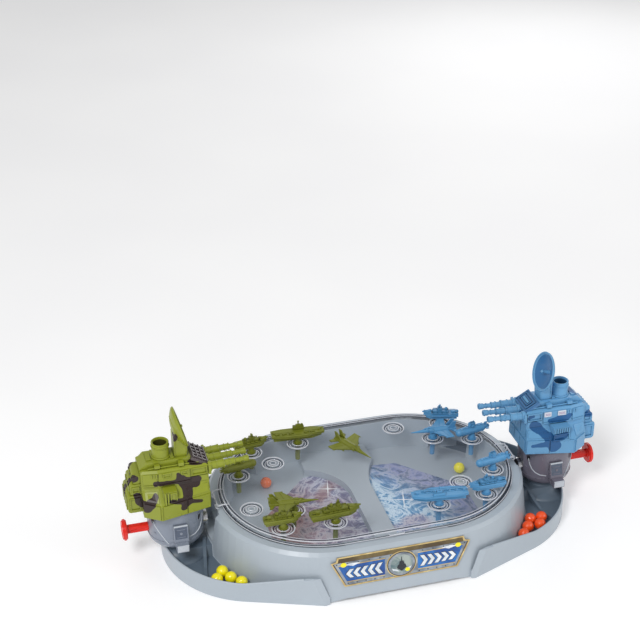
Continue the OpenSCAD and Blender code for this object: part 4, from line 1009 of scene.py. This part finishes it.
def warship(piece, length, b, h, tiers):
    """Fittings of a warship; tiers are its deck houses (x0, x1, half width, z0, z1)."""
    h2 = length / 2
    port = [(-h2 + 0.6, b * 0.72), (-h2 * 0.8, b - 0.5), (h2 * 0.44, b - 0.5)]
    rail(piece, [(x, -y) for x, y in port] + port[::-1], h)
    for sy in NEAR_FAR:
        # strake along the hull and boats on deck
        strake = ((-h2 + 0.3, b * 0.82), (-h2 * 0.8, b + 0.05), (h2 * 0.45, b + 0.05), (h2 - 1.6, 0))
        piece.bead([(x, sy * y, h * 0.62) for x, y in strake], 0.35, sides=6)
        for x in [-h2 * 0.3 + 4.4 * k for k in range(3)]:
            boat = ((0, 0.9), (0.5, 0.7), (2.6, 0.7), (3.1, 0.9))
            piece.bead([(x + a, sy * (b - 1.1), h + up) for a, up in boat], 0.75, sides=8, flat=0.7)
    for x0, x1, half, z0, z1 in tiers:
        rail(piece, rectangle(x0 + 0.2, x1 - 0.2, 0.2 - half, half - 0.2), z1, 0.6)
        for sy in NEAR_FAR:
            for x in [x0 + 0.7 + 2.2 * k for k in range(int((x1 - x0) / 2.2))]:
                piece.outboard_box(sy, x, x + 1.2, half - 0.1, half + 0.3, z0 + 0.9, z1 - 0.5)
        piece.box((x1 - 0.1, -half + 0.5, z1 - 1.2), (x1 + 0.35, half - 0.5, z1 - 0.4))
    gun_house(piece, h2 * 0.62, h, 1)
    gun_house(piece, h2 * 0.36, h + 0.8, 1, 0.75)
    gun_house(piece, -h2 * 0.72, h, -1)
    mast(piece, (tiers[-1][0] + tiers[-1][1]) / 2, 0, tiers[-1][4], 4.6)
    mast(piece, tiers[0][0] + 2.0, 0, tiers[0][4], 3.4)


def carrier_trim(piece, length):
    """Deck edge, lines, catwalks and island fittings of a carrier."""
    h2 = length / 2
    edge = [(-h2, -5), (-h2 * 0.5, -7.5), (h2 * 0.3, -7.5), (h2 * 0.5, -5.5), (h2, -3.5), (h2, 3.5),
            (h2 * 0.55, 6.5), (-h2 * 0.6, 6.5), (-h2, 5)]
    piece.bead([(x, y, 6.5) for x, y in edge], 0.4, closed=True, sides=6)
    piece.bead([(x * 0.985, y * 0.96, 4.7) for x, y in edge], 0.5, closed=True, sides=6)
    for y in (-5.2, 0.2):
        piece.box((-h2 + 1.5, y - 0.25, 6.5), (h2 - 2.5, y + 0.25, 6.85))
    for x in [-h2 * 0.7 + 6.4 * k for k in range(6)]:
        piece.box((x, -0.2, 3.2), (x + 3.2, 4.5, 4.1))
        piece.box((x, -4.5, 3.2), (x + 3.2, 0.2, 4.1))
    rail(piece, rectangle(-3.7, 6.7, 3.5, 5.9), 9.9, 0.6)
    for x in [-3.2 + 2.1 * k for k in range(5)]:
        piece.box((x, 2.8, 7.6), (x + 1.2, 3.3, 9.2))
    mast(piece, 1.5, 4.7, 12.0, 4.4)
    piece.lathe(((0.9, 0), (0.9, 2.6), (0.6, 2.8)), at(5.2, 4.7, 9.8), sides=20)
    gun_house(piece, -h2 + 3, 6.6, -1, 0.6)
    gun_house(piece, h2 - 5, 6.6, 1, 0.6)


def submarine_trim(piece, length):
    """Deck strip, hatches, bands and lines along a submarine."""
    h2 = length / 2
    piece.box((-h2 + 7, -1.5, 7.4), (h2 - 5, 1.5, 8.1))
    for x in (-9, -6, -3.6, 7.5, 10.0):
        piece.lathe(((1.0, 0), (1.0, 0.4), (0.7, 0.6)), at(x, 0, 8.0), sides=20)
    for sy in NEAR_FAR:
        piece.bead([(-h2 + 6, sy * 3.75, 4.6), (h2 - 5.5, sy * 3.75, 4.6)], 0.35, sides=6)
        for x in [-9.5 + 3.2 * k for k in range(7)]:
            piece.outboard_box(sy, x, x + 1.3, 3.6, 3.98, 2.2, 3.2)
    for x in (-h2 + 8, h2 - 5.5):
        piece.hoop(3.86, 0.3, at(x, 0, 3.9) @ turned(90, "Y"), sides=40, bead_sides=6)
    rail(piece, rectangle(-2.0, 3.2, -1.1, 1.1), 12.0, 0.5)


def jet_trim(piece, length):
    """Panel ribs, intakes, missiles, exhausts and spine of a jet."""
    h2 = length / 2
    for sy in NEAR_FAR:
        tip = sy * length * 0.36
        for start, end, radius, sides in (
                ((-0.04, sy * 3.2, 3.25), (-0.2, sy * 9.5, 3.25), 0.3, 6),
                ((-0.34, sy * 3.2, 3.25), (-0.5, sy * 14.5, 3.25), 0.3, 6),
                ((0.1, sy * 3, 3.0), (-0.45, sy * length * 0.355, 3.0), 0.42, 6),
                ((-0.72, tip, 2.6), (-0.36, tip, 2.6), 0.6, 8),
                ((-0.5, sy * 6.5, 1.4), (-0.12, sy * 6.5, 1.4), 0.6, 8),
                ((-0.5, sy * 10.0, 1.4), (-0.12, sy * 10.0, 1.4), 0.6, 8)):
            piece.bead([(h2 * share, y, z) for share, y, z in (start, end)], radius, sides=sides)
        piece.outboard_box(sy, h2 * 0.02, h2 * 0.2, 2.6, 4.0, 1.6, 4.2)
        piece.hoop(1.75, 0.35, at(-h2, sy * 2, 2.6) @ turned(90, "Y"), sides=28, bead_sides=6)
    spine = ((0.44, 4.1), (0.36, 5.4), (0.2, 5.5), (-0.1, 5.0), (-0.5, 4.9))
    piece.bead([(h2 * share, 0, z) for share, z in spine], 0.6, sides=8)
    piece.bead([(h2 * 0.6, 0, 3.6), (h2 * 1.03, 0, 2.6)], 0.3, sides=6)


CRUISER_TIERS = ((-12.0, 10.8, 3.2, 6.4, 9.0), (-7.2, 4.8, 2.4, 8.9, 11.3), (0.5, 3.9, 1.8, 11.2, 13.4))
FRIGATE_TIERS = ((-8.1, 7.2, 2.8, 5.9, 8.5), (-1.8, 2.8, 2.0, 8.4, 11.0))
for node, place in (
        ("green_carrier", on_hole(0, -1, 1, -4)), ("green_cruiser", on_hole(0, -1, -1, 3)),
        ("green_frigate_near", on_hole(1, -1, -1, 0)), ("green_frigate_far", on_hole(1, -1, 1, 8)),
        ("green_submarine", on_hole(2, -1, 1, 10)), ("green_jet", on_hole(3, -1, -1, -7)),
        ("blue_carrier", on_hole(0, 1, -1, 173)), ("blue_frigate_near", on_hole(1, 1, -1, 180)),
        ("blue_frigate_far", on_hole(1, 1, 1, 164)), ("blue_submarine_near", on_hole(2, 1, -1, 190)),
        ("blue_submarine_far", on_hole(2, 1, 1, 190)), ("blue_jet", on_hole(3, 1, 1, 179)),
        ("green_loose_jet", at(0.5, 42, DECK_Z) @ turned(-64, "Z"))):
    fittings = Piece(place)
    if "carrier" in node:
        carrier_trim(fittings, 52.0)
    elif "cruiser" in node:
        warship(fittings, 48.0, 5.2, 6.5, CRUISER_TIERS)
    elif "frigate" in node:
        warship(fittings, 36.0, 4.6, 6.0, FRIGATE_TIERS)
    elif "submarine" in node:
        submarine_trim(fittings, 37.0)
    else:
        jet_trim(fittings, 48.0 if "loose" in node else 45.0)
    fittings.finish(node + "_fittings", node + "_body", olive if node.startswith("green") else steel_blue)


# ---------------------------------------------------------------- cover

def stadium(radius, z):
    """Path round the cover, at a radius on its rounded ends."""
    path = []
    for sx, start in ((1, -90), (-1, 90)):
        for k in range(49):
            a = math.radians(start + 180 * k / 48)
            path.append((sx * COVER_HALF + radius * math.cos(a), radius * math.sin(a), z))
    return path


def cover_beads():
    """Painted highlight beads and painted shade seams round the cover's rim."""
    for name, beads, material in (
            ("cover_rim_highlights", ((-0.7, DECK_Z - 0.4, 0.55), (-3.4, DECK_Z + 0.05, 0.3),
                                 (1.7, SEAT_Z + 1.35, 0.4)), highlight_clear),
            ("cover_rim_seam_shade", ((-2.1, DECK_Z, 0.5), (0.7, SEAT_Z + 1.3, 0.55)), shade_clear)):
        rim = Piece()
        for out, z, radius in beads:
            rim.bead(stadium(COVER_R + out, z), radius, closed=True)
        rim.finish(name, "base", material)


def peg_rings():
    """Painted highlight rings round each peg hole, and painted shade in the gutters between them."""
    spots = [(sx * x, sy * y) for x, y in HOLES for sx in NEAR_FAR for sy in NEAR_FAR]
    highlight_tree, shade_tree = ring_tree(highlight_clear), ring_tree(shade_clear)
    for name, tree, radius, bead, z in (
            ("outer", highlight_tree, 10.3, 0.62, 56.0), ("groove", shade_tree, 8.9, 0.5, 55.1),
            ("middle", highlight_tree, 7.6, 0.35, 55.15), ("gutter", shade_tree, 6.5, 0.4, 55.1),
            ("sleeve", highlight_tree, 5.4, 0.5, 56.5), ("hole", highlight_tree, 2.95, 0.45, 56.55)):
        grown("peg_ring_" + name, tree, [(x, y, z) for x, y in spots],
              {"Ring Radius": radius * MM, "Bead Radius": bead * MM}, "base")


def cover_clips():
    """Painted highlight along the edges of the cover's tabs and on the loops that hook it over the ledge.
    """
    clips = Piece()
    for s in NEAR_FAR:
        for v in (-12.2, 12.2):
            clips.bead([(s * 135.5, v, 54.8), (s * 141, v, 55.4), (s * 146.0, v, 54.6)], 0.7)
        clips.bead([(s * 146.2, -12.2, 54.6), (s * 146.2, 12.2, 54.6)], 0.7)
        hook = ((145.6, -2.6, 51.0), (147.6, -2.4, 52.6), (147.9, 0, 53.0), (147.6, 2.4, 52.6),
                (145.6, 2.6, 51.0))
        for v in (-9.0, 9.0):
            clips.bead([(s * x, v + y, z) for x, y, z in hook], 0.75)
    for face in NEAR_FAR:
        hook = ((-7, 92.3, 52.2), (-6.4, 94.2, 52.4), (6.4, 94.2, 52.4), (7, 92.3, 52.2))
        clips.bead([(x, face * y, z) for x, y, z in hook], 0.6)
    clips.finish("cover_tab_highlights", "base", highlight_clear)


cover_beads()
peg_rings()
cover_clips()


# ---------------------------------------------------------------- base trim

def tray_rim():
    """Rounded lip along the top of each tray wall, rising towards the arena."""
    middle = TRAY_R - 1.2
    foot = math.radians(69.5)
    arc = [foot * (k / 36 - 1) for k in range(73)]
    round_wall = [(TRAY_X + middle * math.cos(a), middle * math.sin(a)) for a in arc]
    run = Vector((-math.sin(foot), math.cos(foot))) * 53.0
    x, y = round_wall[-1]
    straight = [(x + run.x * t, y + run.y * t) for t in (0.25, 0.5, 0.75, 1.0)]
    path = [(x, -y) for x, y in straight[::-1]] + round_wall + straight
    lip = Piece()
    for s in NEAR_FAR:
        lip.bead([(s * x, y, 18.0 if x > 140 else min(28.0, 18.0 + 10.0 * (140 - x) / 57.0))
                  for x, y in path], 1.2)
    lip.finish("tray_rim_lips", "base", base_plastic)


tray_rim()


# ---------------------------------------------------------------- label

def label_point(x, up, out):
    """Point on the label's plane: x along the wall, up from its foot, out from its face."""
    y = -BASE_HALF + up * math.sin(WALL_LEAN) - (0.5 + out) * math.cos(WALL_LEAN)
    z = up * math.cos(WALL_LEAN) + (0.5 + out) * math.sin(WALL_LEAN)
    return Vector((x, y, z))


def label_sheet(piece, outline, low, high):
    """Flat sheet on the label's plane."""
    piece.loft([[label_point(x, up, out) for x, up in outline] for out in (low, high)])


def ellipse(x, up, rx, rs):
    return [(x + rx * a, up + rs * b) for a, b in circle(1.0, 48)]


def front_label_art():
    """Outline, riveted band, blue fields with speed stripes and a round ship emblem."""
    gold, band, blue, brown, white, dark, sea, ball = (Piece() for _ in range(8))
    outer = [(-53.2, 16.5), (53.2, 16.5), (65.3, 41.5), (60.4, 42.5), (59.4, 46.5), (-59.4, 46.5),
             (-60.4, 42.5), (-65.3, 41.5)]
    inner = [(x * 0.978, 16.5 + (up - 16.5) * 0.93 + 1.05) for x, up in outer]
    for corners in zip(outer, outer[1:] + outer[:1], inner[1:] + inner[:1], inner):
        label_sheet(gold, corners, -0.3, 0.45)
    label_sheet(band, [(-51.6, 17.7), (51.6, 17.7), (62.6, 40.9), (-62.6, 40.9)], -0.1, 0.1)
    label_sheet(brown, [(-58.9, 41.3), (58.9, 41.3), (58.0, 45.3), (-58.0, 45.3)], -0.1, 0.25)
    middle = 29.2
    for s in NEAR_FAR:
        for piece, low, x0, high, x1, rise in ((blue, 21.5, 51.0, 37.6, 58.6, 0.25),
                                               (gold, 37.6, 58.6, 38.3, 58.9, 0.4),
                                               (gold, 20.8, 50.7, 21.5, 51.0, 0.4)):
            field = ((15.5, low), (x0, low), (x1, high), (15.5, high))
            label_sheet(piece, [(s * a, b) for a, b in field], 0.0, rise)
        # chevrons that point away from the emblem, smaller outwards, on dark edges
        for k in range(5):
            x = 17.6 + 6.7 * k
            for piece, grow, rise in ((dark, 0.7, 0.34), (white, 0.0, 0.42)):
                tall = 5.4 - 0.3 * k + grow * 0.7
                arrow = ((x - grow, tall), (x + 3.7 + grow, tall), (x + 7.3 + grow, 0),
                         (x + 3.7 + grow, -tall), (x - grow, -tall), (x + 3.6 - grow, 0))
                label_sheet(piece, [(s * a, middle + b) for a, b in arrow], 0.2, rise)
        # ball with its flash
        flash = ((45.0, 36.4), (53.6, 38.9), (46.0, 39.6), (38.0, 38.8))
        label_sheet(white, [(s * a, b) for a, b in flash], 0.2, 0.5)
        label_sheet(ball, ellipse(s * 53.8, 38.8, 2.7, 2.2), 0.2, 0.8)
    # round emblem: nested discs, and a ship seen from the bow between two waves
    for piece, rx, low, rise in ((gold, 14.2, 0.0, 0.5), (dark, 13.4, 0.2, 0.62), (band, 12.6, 0.2, 0.72),
                                 (sea, 10.4, 0.2, 0.84)):
        label_sheet(piece, ellipse(0, 29.8, rx, rx - (1.0 if piece is sea else 1.2)), low, rise)
    for ship in ([(-4.6, 26.2), (0, 22.6), (4.6, 26.2), (3.6, 29.4), (-3.6, 29.4)],
                 [(-2.6, 29.4), (2.6, 29.4), (1.8, 33.0), (-1.8, 33.0)],
                 [(-0.5, 33.0), (0.5, 33.0), (0.3, 37.2), (-0.3, 37.2)]):
        label_sheet(dark, ship, 0.6, 0.98)
    for s in NEAR_FAR:
        wave = ((4.8, 25.0), (9.2, 26.4), (8.2, 24.0), (2.0, 22.4))
        label_sheet(white, [(s * a, b) for a, b in wave], 0.6, 0.96)
    label_sheet(ball, ellipse(5.4, 23.4, 2.2, 1.9), 0.6, 1.1)
    for name, piece, material in (
            ("outline", gold, label_gold), ("band", band, label_band), ("fields", blue, label_blue),
            ("top_bar", brown, label_brown), ("stripes", white, label_white),
            ("stripe_edges", dark, label_dark), ("emblem_sea", sea, label_sea),
            ("balls", ball, yellow_plastic)):
        piece.finish("label_" + name, "base", material, bevel=0.06, segments=1)


def label_rivets():
    """Rivets along the foot and top of the label, clear of the emblem."""
    points = [label_point(x, up, 0.1) for up, half in ((19.2, 50), (39.6, 60))
              for x in spread(-half, half, 13) if abs(x) > 9 or up < 30]
    out = Vector((0, -math.cos(WALL_LEAN), math.sin(WALL_LEAN)))
    grown("label_rivets", stud_tree(label_dark), points, {"Stud Radius": 0.6 * MM, "Stud Height": 0.5},
          "base", [out] * len(points))


front_label_art()
label_rivets()


# ---------------------------------------------------------------- camera, light and floor

camera_data = bpy.data.cameras.new("camera")
camera_data.lens = 78.31
camera_data.sensor_width = 36.0
camera_data.clip_end = 20.0
camera = placed("camera", camera_data)
camera.location = (-0.33890, -1.03702, 0.81610)
camera.rotation_euler = (math.radians(61.37), 0.0, math.radians(-15.807))
bpy.context.scene.camera = camera
bpy.context.scene.view_settings.view_transform = "Standard"

for name, spot, height, size, power in (("key", (-0.9, -1.0, 1.5), 0.04, 0.6, 19.0),
                                        ("fill", (1.3, -0.8, 0.9), 0.04, 0.9, 4.0),
                                        ("rim", (0.9, 1.5, 0.7), 0.05, 0.6, 3.0)):
    lamp = bpy.data.lights.new(name, "AREA")
    lamp.shape = "DISK"
    lamp.size = size
    lamp.energy = power
    light = placed(name, lamp)
    light.location = spot
    light.rotation_euler = (Vector((0, 0, height)) - Vector(spot)).to_track_quat("-Z", "Y").to_euler()

world = bpy.data.worlds.new("studio")
bpy.context.scene.world = world
world.use_nodes = True
background = world.node_tree.nodes["Background"]
background.inputs["Color"].default_value = (1, 1, 1, 1)
background.inputs["Strength"].default_value = 0.5


def pale_floor():
    """Nearly white, with a little light of its own."""
    made = Finish("pale_floor")
    speck = made.noise(3.0, detail=2.0)
    made.set(Base_Color=made.ramp(speck, ((0.3, (0.93, 0.93, 0.94)), (0.7, (0.96, 0.96, 0.965)))))
    made.set(Roughness=0.7, Emission_Color=WHITE, Emission_Strength=0.14)
    return made.material


floor_mesh = bmesh.new()
bmesh.ops.create_grid(floor_mesh, x_segments=1, y_segments=1, size=4.0)
floor_data = bpy.data.meshes.new("floor")
floor_mesh.to_mesh(floor_data)
floor_mesh.free()
floor_data.materials.append(pale_floor())
floor = placed("floor", floor_data)
floor.location = (0, 0, -0.0002)
